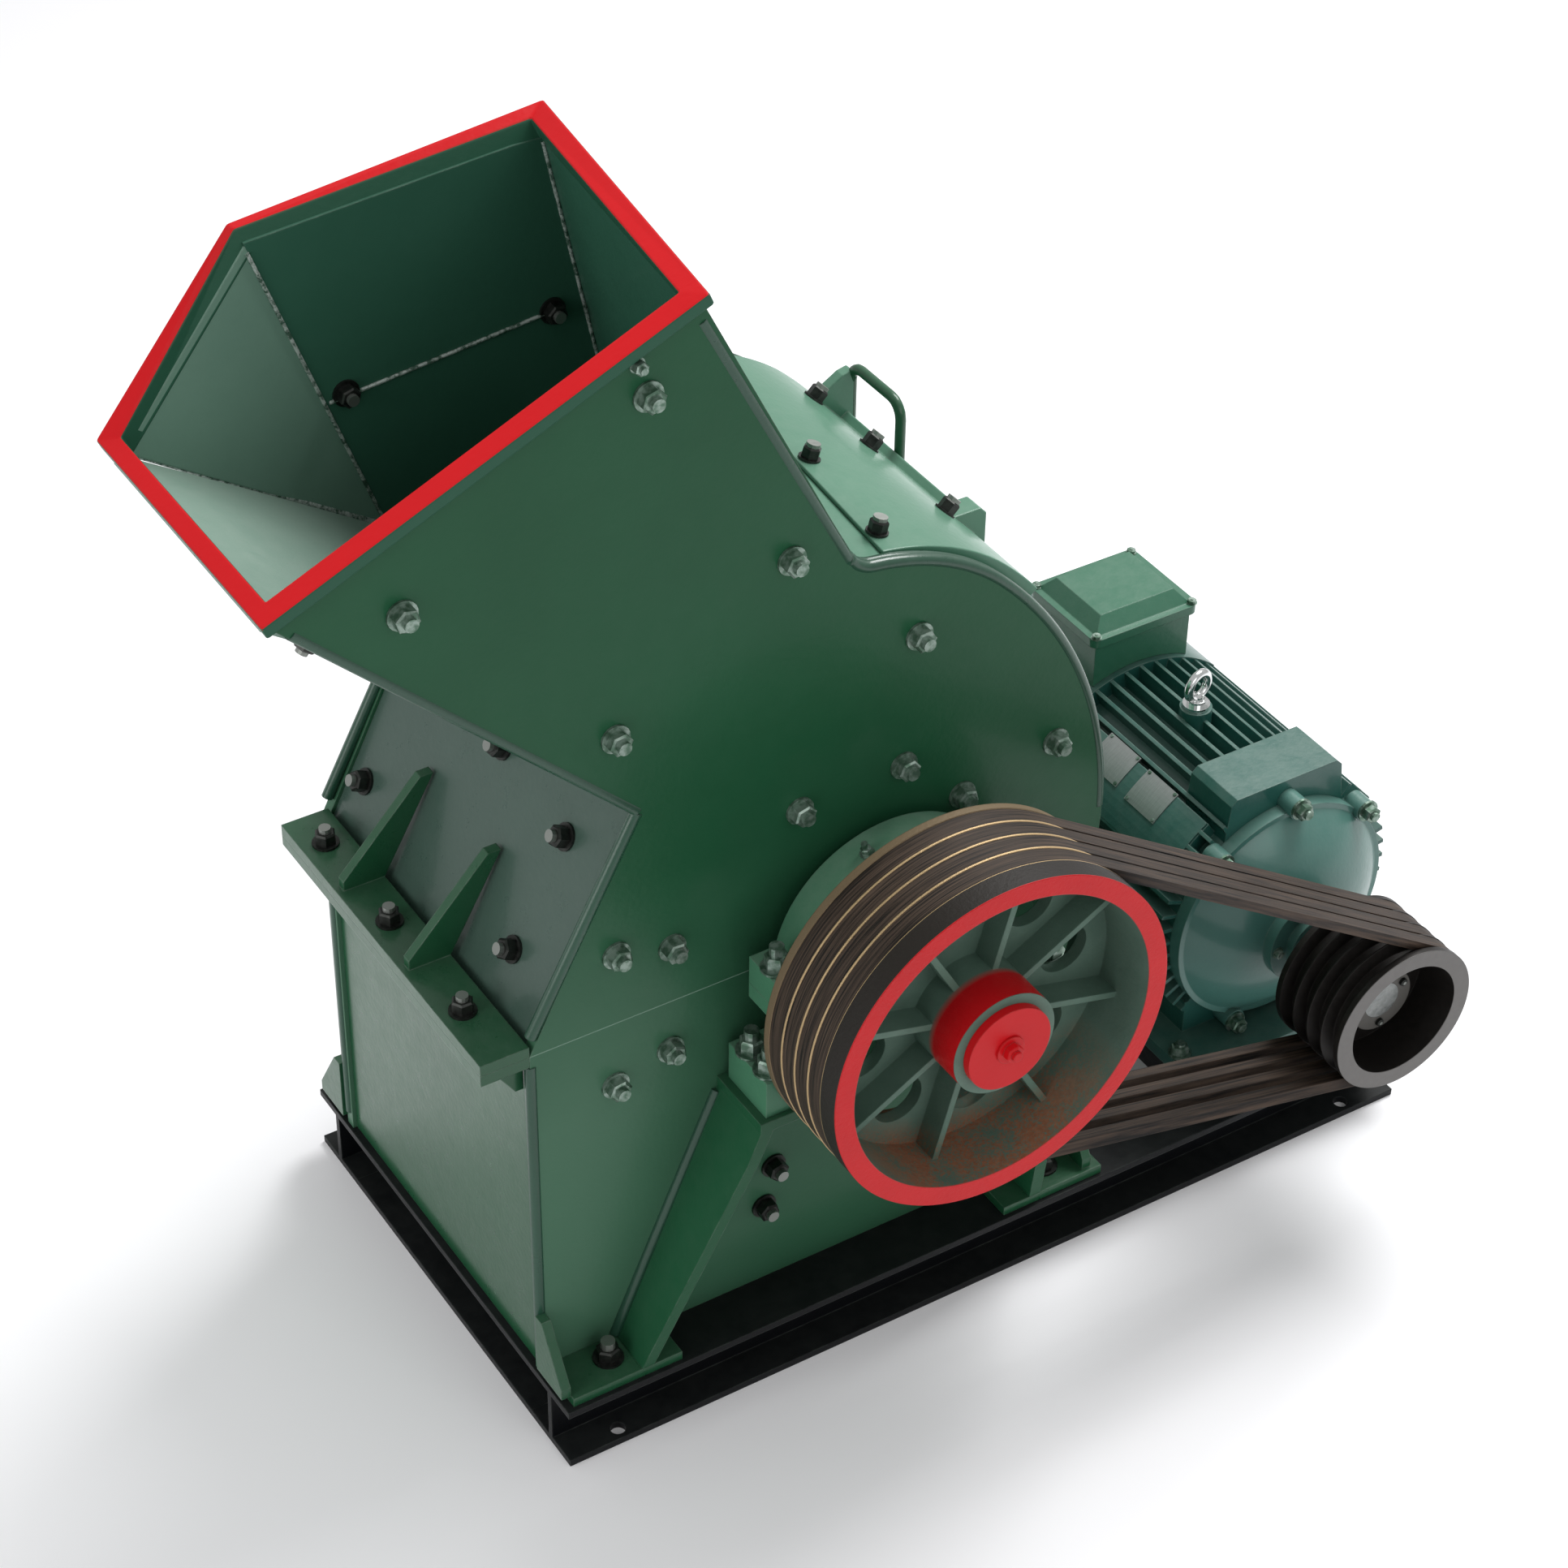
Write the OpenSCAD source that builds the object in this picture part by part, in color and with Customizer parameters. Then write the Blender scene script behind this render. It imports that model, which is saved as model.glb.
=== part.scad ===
// Hammer crusher on a steel base, with a slanted feed hopper and a belt drive.
// Millimetres. X runs to the motor end, -Y is the pulley side, +Z is up.
// The origin is the centre of the foundation bolts on the ground.

/* [Base frame] */
// reach of the base past the motor axis
base_tail = 147; // [130:1:220]
// height of the base beams
base_h = 86; // [60:1:140]
// flange width of a base beam
beam_w = 90; // [60:1:120]
// flange thickness of a base beam
beam_flange = 9; // [5:0.5:14]
// web thickness of a base beam
beam_web = 8; // [4:0.5:12]
// reach of the outer flange beyond the casing side
base_over = 68; // [40:1:120]
// start of the base ahead of the casing end
base_lead = 4; // [0:1:40]
// foundation hole radius
found_r = 9; // [6:0.5:14]
// foundation hole distance from the base end
found_end = 70; // [40:1:160]
// foundation hole distance from the flange edge
found_edge = 15; // [12:1:20]
// width of a motor rail
rail_w = 60; // [40:1:100]
// height of a motor rail
rail_h = 46; // [30:1:60]
// distance of a rail from the motor axis
rail_half = 116; // [100:1:140]
// reach of the rails past the casing side
rail_over = 44; // [10:1:60]

/* [Casing] */
// casing width over the side plates
case_w = 480; // [400:1:560]
// casing length
case_l = 731; // [600:1:900]
// side plate thickness
plate_t = 14; // [8:1:20]
// thickness of the plates between the sides
skin_t = 10; // [6:1:16]
// inset of those plates from the side plate edges
skin_in = 5; // [0:1:12]
// height of the split line and of the rotor axis
split_z = 564; // [480:1:640]
// reach of the split flange
flange_out = 58; // [40:1:90]
// thickness of each split flange
flange_t = 14; // [8:1:20]
// height of the flange gussets
gusset_h = 118; // [60:1:160]
// thickness of the flange gussets
gusset_t = 12; // [6:1:16]
// setback of the flange gussets from the flange edge
gusset_in = 8; // [2:1:20]
// height of a gusset at its nose
gusset_nose = 12; // [6:1:30]
// height of the ribs under the split flange
rib_h = 42; // [20:1:60]
// inset of those ribs from the casing sides
rib_in = 16; // [10:1:40]
// width of those ribs at the foot
rib_toe = 10; // [4:1:20]
// height of the foot gussets
knee_h = 84; // [50:1:120]
// height of a foot gusset at its nose
knee_nose = 14; // [8:1:24]
// setback of the foot plates from the casing ends
foot_in = 6; // [2:1:20]
// length of a foot plate
foot_l = 140; // [100:1:200]
// width of a foot plate
foot_w = 62; // [40:1:66]
// thickness of a foot plate
foot_t = 12; // [8:1:20]

/* [Hopper] */
// point on the side plate's rear edge, behind the cover's centre
notch_back = 165; // [140:1:190]
// its height
notch_z = 1047; // [1020:1:1090]
// foot of the back plate, behind the cover's centre
back_off = 62; // [50:1:100]
// feed lip, along X
lip_x = -246; // [-320:1:-150]
// feed lip height
lip_z = 1204; // [1100:1:1300]
// upper mouth edge, ahead of the cover's centre
brow_lead = 15; // [-20:1:40]
// upper mouth edge height
brow_z = 1405; // [1300:1:1500]
// knee under the hopper, along X
knee_x = 133; // [80:1:200]
// knee height
knee_z = 832; // [760:1:900]
// step of the hopper's far wall inside the far casing side
mouth_in = 88; // [60:1:120]
// step of the feed lip's far end inside the far wall
lip_in = 40; // [20:1:70]
// peak of the far wall, along X
peak_x = -80; // [-160:1:0]
// peak height
peak_z = 1369; // [1300:1:1460]
// far end of the upper mouth edge, ahead of its near end
brow_skew = 49; // [0:1:60]
// foot of the corner plate, along X
crease_x = 54; // [0:1:120]
// foot of the corner plate, height
crease_z = 992; // [900:1:1060]
// width of the mouth rim bar
rim_w = 30; // [16:1:40]
// thickness of the mouth rim bar
rim_t = 14; // [8:1:20]
// overhang of the mouth rim
rim_over = 8; // [0:1:16]

/* [Rotor cover] */
// radius of the side plate arc
arc_r = 502; // [440:1:560]
// step of the arc inside the casing end
arc_in = 1; // [0:0.5:6]
// arc centre height above the split
arc_up = 37; // [20:1:90]
// radius of the tighter arc above it
blend_r = 280; // [240:1:320]
// angle where the two arcs meet
blend_a = 46; // [40:0.5:52]
// start of the cover's flat top, behind the cover's centre
flat_off = 47; // [30:1:60]
// radius of the fillet between hopper and arc
notch_r = 34; // [10:1:60]
// thickness of the bolted cover plate
lid_t = 30; // [4:1:40]
// width of the lid's sloped border
lid_bevel = 26; // [8:1:40]
// lower angle of the bolted cover plate
lid_low = 32; // [28:0.5:60]
// upper angle of the bolted cover plate
lid_high = 83; // [60:0.5:85]
// step of the cover inside the side plate edge
cover_in = 3; // [2:1:14]
// inset of the bolted cover plate from the side plates
lid_in = 4; // [2:1:20]
// bar radius of the lid handle
handle_r = 8; // [5:0.5:10]
// length of the lid handle
handle_l = 106; // [80:1:160]
// height of the lid handle
handle_h = 42; // [30:1:60]
// bend radius of the handle
handle_bend = 22; // [14:1:30]
// handle end, from the far casing side
handle_in = 56; // [40:1:120]
// length of the lifting lug
lug_l = 48; // [30:1:60]
// height of the lifting lug
lug_h = 24; // [16:1:40]
// lifting lug, from the near casing side
lug_in = 104; // [60:1:140]

/* [Bearings] */
// rotor axis, from the casing's motor end
rotor_back = 295; // [260:1:330]
// pedestal seat height
seat_z = 430; // [380:1:480]
// depth of the pedestal
seat_w = 92; // [70:1:95]
// half length of the pedestal seat
seat_half = 208; // [160:1:260]
// thickness of the pedestal plates
seat_t = 14; // [8:1:20]
// foot of the pedestal strut, from the casing end
strut_in = 102; // [60:1:130]
// thickness of the pedestal strut along its foot
strut_t = 16; // [10:1:24]
// radius of the bearing housing
house_r = 143; // [100:1:160]
// half length of the bearing cap's ears
ear_half = 178; // [160:1:200]
// height of the bearing cap's ears
ear_h = 36; // [24:1:80]
// depth of the ears below the split
ear_drop = 20; // [10:1:40]
// width of the bearing housing
house_w = 78; // [50:1:84]
// height of the bearing base block
block_h = 50; // [36:1:110]
// rotor shaft radius
shaft_r = 35; // [25:1:50]
// running clearance around the shaft
shaft_gap = 0.05; // [0.02:0.01:0.1]
// clearance of the shaft in the side plates
shaft_hole = 8; // [5:1:20]
// clearance of the bearings from the side plates
house_gap = 8; // [4:1:12]
// joint between bearing base and cap
cap_gap = 0.4; // [0.2:0.1:1]
// reach of the shaft past the far casing side
shaft_tail = 110; // [96:1:140]

/* [Rotor] */
// radius over the hammers
hammer_r = 238; // [200:1:250]
// hammer width
hammer_w = 48; // [30:1:60]
// length of a hammer
hammer_l = 148; // [120:1:160]
// clearance between hammer and disc
hammer_gap = 6; // [5:0.5:10]
// rotor disc radius
disc_r = 150; // [120:1:170]
// rotor disc thickness
disc_t = 24; // [14:1:30]
// number of rotor discs
disc_n = 5; // [3:1:7]
// clearance of the discs from the side plates
disc_side = 46; // [20:1:60]
// radius of the rotor's core
core_r = 70; // [50:1:90]
// radius of the hammer rods
rod_r = 13; // [9:1:16]
// hammer rods, from the rotor axis
rod_d = 122; // [100:1:135]

/* [Drive] */
// large pulley radius
sheave_r = 211; // [160:1:240]
// large pulley width
sheave_w = 138; // [110:1:150]
// plain front land of the large pulley
sheave_land = 28; // [10:1:40]
// inner radius of the large pulley rim
sheave_in = 187; // [150:1:200]
// back face of the large pulley, from the casing side
sheave_back = 100; // [98:1:120]
// distance of the large pulley's web from its front face
web_in = 78; // [60:1:100]
// thickness of the web
web_t = 16; // [8:1:24]
// distance of the web's ribs from the front face
spoke_in = 46; // [30:1:70]
// thickness of a rib
spoke_t = 8; // [5:1:14]
// turn of the ribs from the horizontal
spoke_turn = 15; // [0:1:44]
// radius of the web's holes
hole_r = 31; // [20:1:34]
// distance of the holes from the axis
hole_at = 130; // [110:1:140]
// hub radius
hub_r = 64; // [45:1:80]
// hub cap radius
cap_r = 52; // [40:1:60]
// motor pulley radius
pinion_r = 97; // [70:1:120]
// motor pulley edge land
pinion_land = 7; // [4:1:14]
// groove pitch
groove_pitch = 25.5; // [19:0.5:30]
// belt top width
belt_w = 22; // [17:0.5:24]
// belt height
belt_h = 13; // [10:0.5:15]
// depth of the belt top below the pulley edge
belt_sink = 0.8; // [0.2:0.1:2]
// clearance between belt and groove
belt_gap = 0.5; // [0.3:0.05:1]
// half angle of the groove
groove_a = 18; // [16:0.5:20]

/* [Motor] */
// motor axis, from the casing's motor end
motor_gap = 298; // [280:1:340]
// motor axis height
motor_z = 307; // [290:1:340]
// radius over the fins
fin_r = 172; // [140:1:190]
// depth of the fins
fin_h = 22; // [10:1:30]
// fin thickness
fin_t = 5; // [3:0.5:7]
// angle between fins
fin_a = 7.5; // [5:0.5:12]
// radius of the end shield's flange
shield_r = 151; // [140:1:175]
// step from the shield's flange to its dome
dome_in = 7; // [4:1:20]
// depth of the end shield's dome
dome_l = 56; // [30:1:80]
// radius of the shield's bearing cap
cap_flange_r = 62; // [40:1:80]
// front of the finned frame
frame_y = 34; // [20:1:80]
// length of the finned frame
frame_len = 392; // [300:1:440]
// length of the fan cowl
cowl_len = 112; // [80:1:160]
// step of the fan cowl over the fins
cowl_over = 2; // [1:0.5:5]
// motor shaft radius
pin_r = 24; // [16:1:32]
// length of the raised front seat on the frame
front_seat = 78; // [50:1:110]
// half width of that seat
pad_half = 82; // [60:1:95]
// height of that seat above the fins
front_up = 11; // [4:1:16]
// start of the smooth side panel, from the frame's front
panel_in = 20; // [10:1:40]
// step in that panel
panel_mid = 150; // [120:1:180]
// end of that panel
panel_out = 300; // [240:1:320]
// half spread of the feet
feet_half = 158; // [140:1:180]
// thickness of the feet
feet_t = 18; // [10:1:26]
// terminal box length along X
box_l = 142; // [100:1:180]
// terminal box width along Y
box_w = 124; // [90:1:160]
// terminal box middle, ahead of the frame's back end
box_in = 38; // [20:1:70]
// height of the terminal box lid
box_lid = 30; // [16:1:40]
// edge thickness of that lid
box_edge = 12; // [6:1:16]
// overhang of that lid
box_over = 8; // [2:1:14]
// bevel of that lid
box_bevel = 16; // [8:1:24]
// corner radius of the terminal lid
box_round = 12; // [4:1:20]
// step of the terminal box from the motor axis
box_step = 4; // [-10:1:20]
// terminal box lid top
box_z = 560; // [530:1:600]

/* [Hidden] */
$fn = 96;
e = 0.01;
motor_x = case_l + motor_gap;
rotor_x = case_l - rotor_back;
base_l = base_lead + motor_x + base_tail;
case_x = base_l / 2 - base_lead;
case_y = case_w / 2;
arc_x = case_l - arc_r - arc_in;
arc_z = split_z + arc_up;
cover_r = arc_r - cover_in;
lid_r = blend_r - cover_in + 1.2;
lid_y0 = plate_t + lid_in;
lid_y1 = case_w - plate_t - lid_in;
lid_slope = atan2(lid_bevel, lid_t);
blend_c = [arc_x, arc_z] + (arc_r - blend_r) * [cos(blend_a), sin(blend_a)];
deck_x = arc_x + flat_off;
deck_z = blend_c[1] + blend_r - cover_in;
brow_x = arc_x - brow_lead;
back_x = arc_x + back_off;
notch_x = arc_x + notch_back;
mouth_w = case_w - mouth_in;
lip_w = mouth_w - lip_in;
disc_pitch = (case_w - 2 * plate_t - 2 * disc_side - disc_t) / (disc_n - 1);
deck_a = atan2(deck_z - knee_z, deck_x - knee_x);
deck_l = norm([deck_x - knee_x, deck_z - knee_z]);
deck_gap = 0.5;
deck_start = skin_t / tan(deck_a) + deck_gap;
mouth_a = atan2(brow_z - lip_z, brow_x - lip_x);
mouth_l = norm([brow_x - lip_x, brow_z - lip_z]);
floor_a = atan2(crease_z - lip_z, crease_x - lip_x);
crease_d = [crease_x - peak_x, crease_z - peak_z] / norm([crease_x - peak_x, crease_z - peak_z]);
crease_v = [crease_x - peak_x, crease_z - peak_z];
lip_v = [lip_x - peak_x, lip_z - peak_z];
corner_trim = 0.012;
rim_gap = 0.9;
far_trim = 13;
corner_h = abs((lip_x - peak_x) * crease_d[1] - (lip_z - peak_z) * crease_d[0]);
corner_a = asin((mouth_w - lip_w) / corner_h);
floor_end = knee_x + skin_t + 4;
floor_len = (floor_end - lip_x) / cos(floor_a);
breast_a = atan2(knee_z - split_z - flange_t, knee_x);
rim_p = [[lip_x, 0, lip_z], [brow_x, 0, brow_z], [brow_x + brow_skew, mouth_w, brow_z],
  [peak_x, mouth_w, peak_z], [lip_x, lip_w, lip_z]];
rim_e = [cos(mouth_a), 0, sin(mouth_a)];
rim_u = [-sin(mouth_a), 0, cos(mouth_a)];
notch_d = [notch_x - brow_x, notch_z - brow_z] / norm([notch_x - brow_x, notch_z - brow_z]);
notch_n = [-notch_d[1], notch_d[0]];
notch_q = [brow_x, brow_z] - blend_c + notch_r * notch_n;
notch_s = -notch_q * notch_d
  - sqrt(pow(notch_q * notch_d, 2) - notch_q * notch_q + pow(blend_r + notch_r, 2));
notch_c = blend_c + notch_q + notch_s * notch_d;
notch_t1 = notch_c - notch_r * notch_n;
groove_n = 4;
sheave_front = -sheave_back - sheave_w;
groove_y0 = sheave_front + sheave_land + groove_pitch / 2;
pinion_w = groove_n * groove_pitch + 2 * pinion_land;
pinion_front = groove_y0 - groove_pitch / 2 - pinion_land;
drive_d = norm([motor_x - rotor_x, motor_z - split_z]);
drive_a = atan2(motor_z - split_z, motor_x - rotor_x);
wrap_a = acos((sheave_r - pinion_r) / drive_d);
strand_lap = 2;
strand_inset = 0.06;
rail_x = motor_x - rail_half;
rail_x2 = motor_x + rail_half;
rail_z = base_h + rail_h;
dome_s = (pow(shield_r - dome_in, 2) + pow(dome_l, 2)) / (2 * dome_l);
feet_z = rail_z;
box_y = frame_y + frame_len - box_in;
flange_y = case_w - plate_t;

// casing frame: the near left lower corner of the casing is X 0, Y 0
module place() translate([-case_x, -case_y, 0]) children();

// plate from an outline in X and Z, between two Y values
module slab(y0, y1) translate([0, y1, 0]) rotate([90, 0, 0]) linear_extrude(y1 - y0) children();

// round solid along Y from y0 to y1
module rod(x, z, r, y0, y1) translate([x, y1, z]) rotate([90, 0, 0]) cylinder(r = r, h = y1 - y0);

// the same piece on the far side of the casing
module far_side() translate([0, case_w, 0]) mirror([0, 1, 0]) children();

module base_beam_near() color("#16181a") place() {
  difference() {
    union() {
      translate([-base_lead, -base_over, 0]) cube([base_l, beam_w, beam_flange]);
      translate([-base_lead, -base_over, base_h - beam_flange]) cube([base_l, beam_w, beam_flange]);
      translate([-base_lead, -base_over + beam_w / 2 - beam_web / 2, e])
        cube([base_l, beam_web, base_h - 2 * e]);
    }
    for (x = [found_end, base_l - found_end])
      translate([x - base_lead, -base_over + found_edge, -1]) cylinder(r = found_r, h = beam_flange + 2);
  }
}

module base_beam_far() color("#16181a") mirror([0, 1, 0]) base_beam_near();

// channel between the beams with its flanges outward
module channel(w) {
  difference() {
    translate([0, beam_w - base_over, 0]) cube([w, case_w - 2 * (beam_w - base_over), base_h]);
    translate([-1, beam_w - base_over - 1, beam_flange])
      cube([w - beam_web + 1, case_w - 2 * (beam_w - base_over) + 2, base_h - 2 * beam_flange]);
  }
}

module base_end_left() color("#16181a") place() translate([-base_lead, 0, 0]) channel(beam_w / 2);

module base_end_right() color("#16181a") place()
  translate([base_l - base_lead, 0, 0]) mirror([1, 0, 0]) channel(beam_w / 2);

module base_cross() color("#16181a") place() translate([case_l + 8, 0, 0]) channel(beam_w / 2);

module rail(x) translate([x - rail_w / 2, -rail_over, base_h]) cube([rail_w, case_w + 2 * rail_over, rail_h]);

module motor_rail_left() color("#16181a") place() rail(rail_x);

module motor_rail_right() color("#16181a") place() rail(rail_x2);

module lower_side() slab(0, plate_t) difference() {
  translate([0, base_h]) square([case_l, split_z - base_h]);
  translate([rotor_x, split_z]) circle(r = shaft_r + shaft_hole);
}

module lower_plate_near() color("#1f4a30") place() lower_side();

module lower_plate_far() color("#1f4a30") place() far_side() lower_side();

module lower_plate_left() color("#1f4a30") place() translate([skin_in, plate_t, base_h])
  cube([skin_t, case_w - 2 * plate_t, split_z - base_h - flange_t]);

module lower_plate_right() color("#1f4a30") place() translate([case_l - skin_in - skin_t, plate_t, base_h])
  cube([skin_t, case_w - 2 * plate_t, split_z - base_h]);

// foot plates with an end gusset, welded to one side plate
module feet_side() {
  for (x = [foot_in, case_l - foot_l - foot_in]) translate([x, -foot_w, base_h])
    cube([foot_l, foot_w, foot_t]);
  for (x = [foot_in, case_l - foot_in - gusset_t]) translate([x, 0, base_h + foot_t - e])
    rotate([0, 0, -90]) rotate([90, 0, 0]) linear_extrude(gusset_t)
      polygon([[0, 0], [foot_w - foot_in, 0], [foot_w - foot_in, knee_nose], [knee_nose, knee_h],
        [0, knee_h]]);
}

module feet_near() color("#1f4a30") place() feet_side();

module feet_far() color("#1f4a30") place() far_side() feet_side();

module split_flange_lower() color("#1f4a30") place() {
  translate([-flange_out, 0, split_z - flange_t]) cube([flange_out, flange_y, flange_t]);
  translate([-e, plate_t, split_z - flange_t])
    cube([skin_in + skin_t, case_w - 2 * plate_t, flange_t]);
  for (y = [rib_in, flange_y - rib_in - gusset_t]) slab(y, y + gusset_t)
    polygon([[0, split_z - flange_t + e], [0, split_z - flange_t - rib_h],
      [-rib_toe, split_z - flange_t - rib_h],
      [gusset_in + gusset_t - flange_out, split_z - flange_t + e]]);
}

module split_flange_upper() color("#1f4a30") place() {
  translate([-flange_out, 0, split_z]) cube([flange_out, flange_y, flange_t]);
  for (y = [case_w * 0.36, case_w * 0.68]) slab(y, y + gusset_t)
    polygon([[gusset_in - flange_out, split_z + flange_t - e], [0, split_z + flange_t - e],
      [gusset_h / tan(breast_a) + skin_in - 1, split_z + flange_t + gusset_h],
      [gusset_h / tan(breast_a) - gusset_nose, split_z + flange_t + gusset_h],
      [gusset_in - flange_out, split_z + flange_t + gusset_nose]]);
}

// what lies outside the lower arc
module beyond_arc() difference() {
  polygon([[arc_x, split_z - 20], [arc_x, arc_z],
    [arc_x, arc_z] + 3 * arc_r * [cos(blend_a + 3), sin(blend_a + 3)],
    [arc_x + 3 * arc_r, arc_z], [arc_x + 3 * arc_r, split_z - 20]]);
  translate([arc_x, arc_z]) circle(r = arc_r, $fn = 180);
}

// what lies outside the upper arc as far as an angle
module beyond_blend(a, o) difference() {
  polygon([blend_c, blend_c + 3 * arc_r * [cos(blend_a), sin(blend_a)],
    blend_c + 4 * arc_r * [cos((blend_a + a) / 2), sin((blend_a + a) / 2)],
    blend_c + 3 * arc_r * [cos(a), sin(a)]]);
  translate(blend_c) circle(r = blend_r + o, $fn = 180);
}

// near side plate of the upper casing and hopper
module near_plate() slab(0, plate_t) difference() {
  polygon([[0, split_z], [knee_x, knee_z], [lip_x, lip_z], [brow_x, brow_z - rim_gap], notch_t1, notch_c,
    [arc_x + arc_r + 20, notch_c[1]], [arc_x + arc_r + 20, split_z]]);
  beyond_arc();
  beyond_blend(atan2(notch_c[1] - blend_c[1], notch_c[0] - blend_c[0]), 0);
  translate([rotor_x, split_z]) circle(r = shaft_r + shaft_hole);
  translate(notch_c) circle(r = notch_r);
}

module upper_plate_near() color("#1f4a30") place() near_plate();

module upper_plate_far() color("#1f4a30") place() far_side() slab(0, plate_t) difference() {
  polygon([[0, split_z], [knee_x, knee_z], [deck_x, deck_z], [deck_x, deck_z + cover_in],
    [arc_x + arc_r + 20, deck_z + cover_in], [arc_x + arc_r + 20, split_z]]);
  beyond_arc();
  beyond_blend(90, 0);
  translate([rotor_x, split_z]) circle(r = shaft_r + shaft_hole);
}

module breast_plate() color("#1f4a30") place() {
  slab(plate_t, case_w - plate_t) polygon([[skin_in, split_z], [skin_in + skin_t + 4, split_z],
    [knee_x + skin_in + skin_t, knee_z], [knee_x + skin_in, knee_z]]);
  slab(plate_t, mouth_w - plate_t) translate([knee_x + skin_in, knee_z - e]) square([skin_t, 60]);
}

// outline of the far hopper wall
module far_wall() polygon([[peak_x, peak_z] + rim_gap * crease_d,
  [brow_x + brow_skew - 1.5 * rim_w, brow_z - far_trim], [brow_x + brow_skew + 2, brow_z - far_trim],
  [back_x + brow_skew + 2, deck_z + 0.5], [deck_x, deck_z + 0.5], [knee_x, knee_z], [crease_x, crease_z]]);

module floor_plate() translate([lip_x, 0, lip_z]) rotate([0, -floor_a, 0])
  translate([0, plate_t, -skin_t]) linear_extrude(skin_t)
    polygon([[rim_gap, 0], [floor_len, 0], [floor_len, mouth_w - 2 * plate_t],
      [(crease_x - lip_x) / cos(floor_a), mouth_w - 2 * plate_t], [rim_gap, lip_w - 2 * plate_t]]);

module hopper_floor() color("#3d6350") place() floor_plate();

module hopper_far() color("#1f4a30") place() slab(mouth_w - plate_t, mouth_w) far_wall();

// folded plate between the floor and the far wall
module corner_plate() translate([peak_x, mouth_w - plate_t, peak_z])
  rotate(a = -corner_a, v = [crease_d[0], 0, crease_d[1]]) slab(0, skin_t)
    polygon([corner_trim * crease_v, crease_v, lip_v + corner_trim * (crease_v - lip_v)]);

module hopper_corner() color("#3d6350") place() corner_plate();

module hopper_back() color("#1f4a30") place() intersection() {
  translate([brow_x, 0, brow_z - rim_gap]) rotate([0, 0, -atan2(brow_skew, mouth_w)]) slab(-60, mouth_w + 60)
    polygon([[0, 0], [-skin_t, -skin_t * tan(mouth_a)],
      [back_x - brow_x - skin_t, deck_z + 0.4 + rim_gap - brow_z],
      [back_x - brow_x, deck_z + 0.4 + rim_gap - brow_z]]);
  translate([brow_x - 200, plate_t, deck_z - 30]) cube([600, mouth_w - 2 * plate_t, brow_z - deck_z + 40]);
}

// corner of the mouth in the plane of the lip and brow, stepped outward by d
function flat(p) = [(p - rim_p[0]) * rim_e, p[1]];
function unit(v) = v / norm(v);
function outward(i, j) = let (v = unit(flat(rim_p[j]) - flat(rim_p[i]))) [v[1], -v[0]];
function mitre(i, d) = let (m = outward((i + 4) % 5, i) + outward(i, (i + 1) % 5))
  flat(rim_p[i]) + m * 2 * d / (m * m);

// the same corner in space, raised by t
function rim_pt(i, d, t) = let (q = mitre(i, d)) rim_p[0] + q[0] * rim_e + [0, q[1], 0]
  + ((rim_p[i] - rim_p[0]) * rim_u + t) * rim_u;

// flat bar mitred round the five corners of the mouth
module hopper_rim() color("#c3222b") place()
  polyhedron([for (i = [0:4]) each [rim_pt(i, rim_over, 0), rim_pt(i, rim_over, rim_t),
      rim_pt(i, rim_over - rim_w, rim_t), rim_pt(i, rim_over - rim_w, 0)]],
    [for (i = [0:4], k = [0:3]) let (a = 4 * i, b = 4 * ((i + 1) % 5), n = (k + 1) % 4)
      each [[a + k, a + n, b + n], [a + k, b + n, b + k]]]);

module top_deck() color("#1f4a30") place() slab(mouth_w, case_w - plate_t) translate([knee_x, knee_z])
  rotate(deck_a) polygon([[deck_start, 0], [deck_start, -skin_t],
    [deck_l - deck_gap - skin_t / tan(90 - deck_a), -skin_t], [deck_l - deck_gap, 0]]);

// band along the cover's profile between two offsets from the side plate edge,
// from angle a0 on the lower arc to a1 on the upper
module band(o0, o1, a0, a1) difference() {
  intersection() {
    polygon([[arc_x, arc_z], [arc_x, arc_z] + 3 * arc_r * [cos(a0), sin(a0)],
      [arc_x, arc_z] + 4 * arc_r * [cos(blend_a), sin(blend_a)],
      blend_c + 3 * arc_r * [cos(a1), sin(a1)], blend_c]);
    translate([arc_x, arc_z]) circle(r = arc_r + o1, $fn = 180);
  }
  beyond_blend(a1 + 5, o1);
  translate(blend_c) circle(r = blend_r + o0, $fn = 180);
  intersection() {
    translate([arc_x, arc_z]) circle(r = arc_r + o0, $fn = 180);
    polygon([[arc_x, arc_z], [arc_x, arc_z] + 3 * arc_r * [cos(a0 - 5), sin(a0 - 5)],
      [arc_x, arc_z] + 4 * arc_r * [cos(blend_a / 2), sin(blend_a / 2)],
      [arc_x, arc_z] + 3 * arc_r * [cos(blend_a), sin(blend_a)]]);
  }
}

module rotor_cover() color("#2f5c40") place() slab(plate_t, case_w - plate_t) {
  band(-cover_in - skin_t, -cover_in, 0, 90);
  translate([arc_x + cover_r - skin_t, split_z]) square([skin_t, arc_z - split_z + e]);
  translate([deck_x, deck_z - skin_t]) square([blend_c[0] - deck_x + e, skin_t]);
}

// dished lid turned about the upper arc's centre
module lid_pan() translate([blend_c[0], 0, blend_c[1]]) rotate([90, 0, 0]) rotate(lid_low)
  rotate_extrude(angle = lid_high - lid_low, $fn = 180) polygon([[lid_r, -lid_y0], [lid_r, -lid_y1],
    [lid_r + lid_t, lid_bevel - lid_y1], [lid_r + lid_t, -lid_bevel - lid_y0]]);

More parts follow.
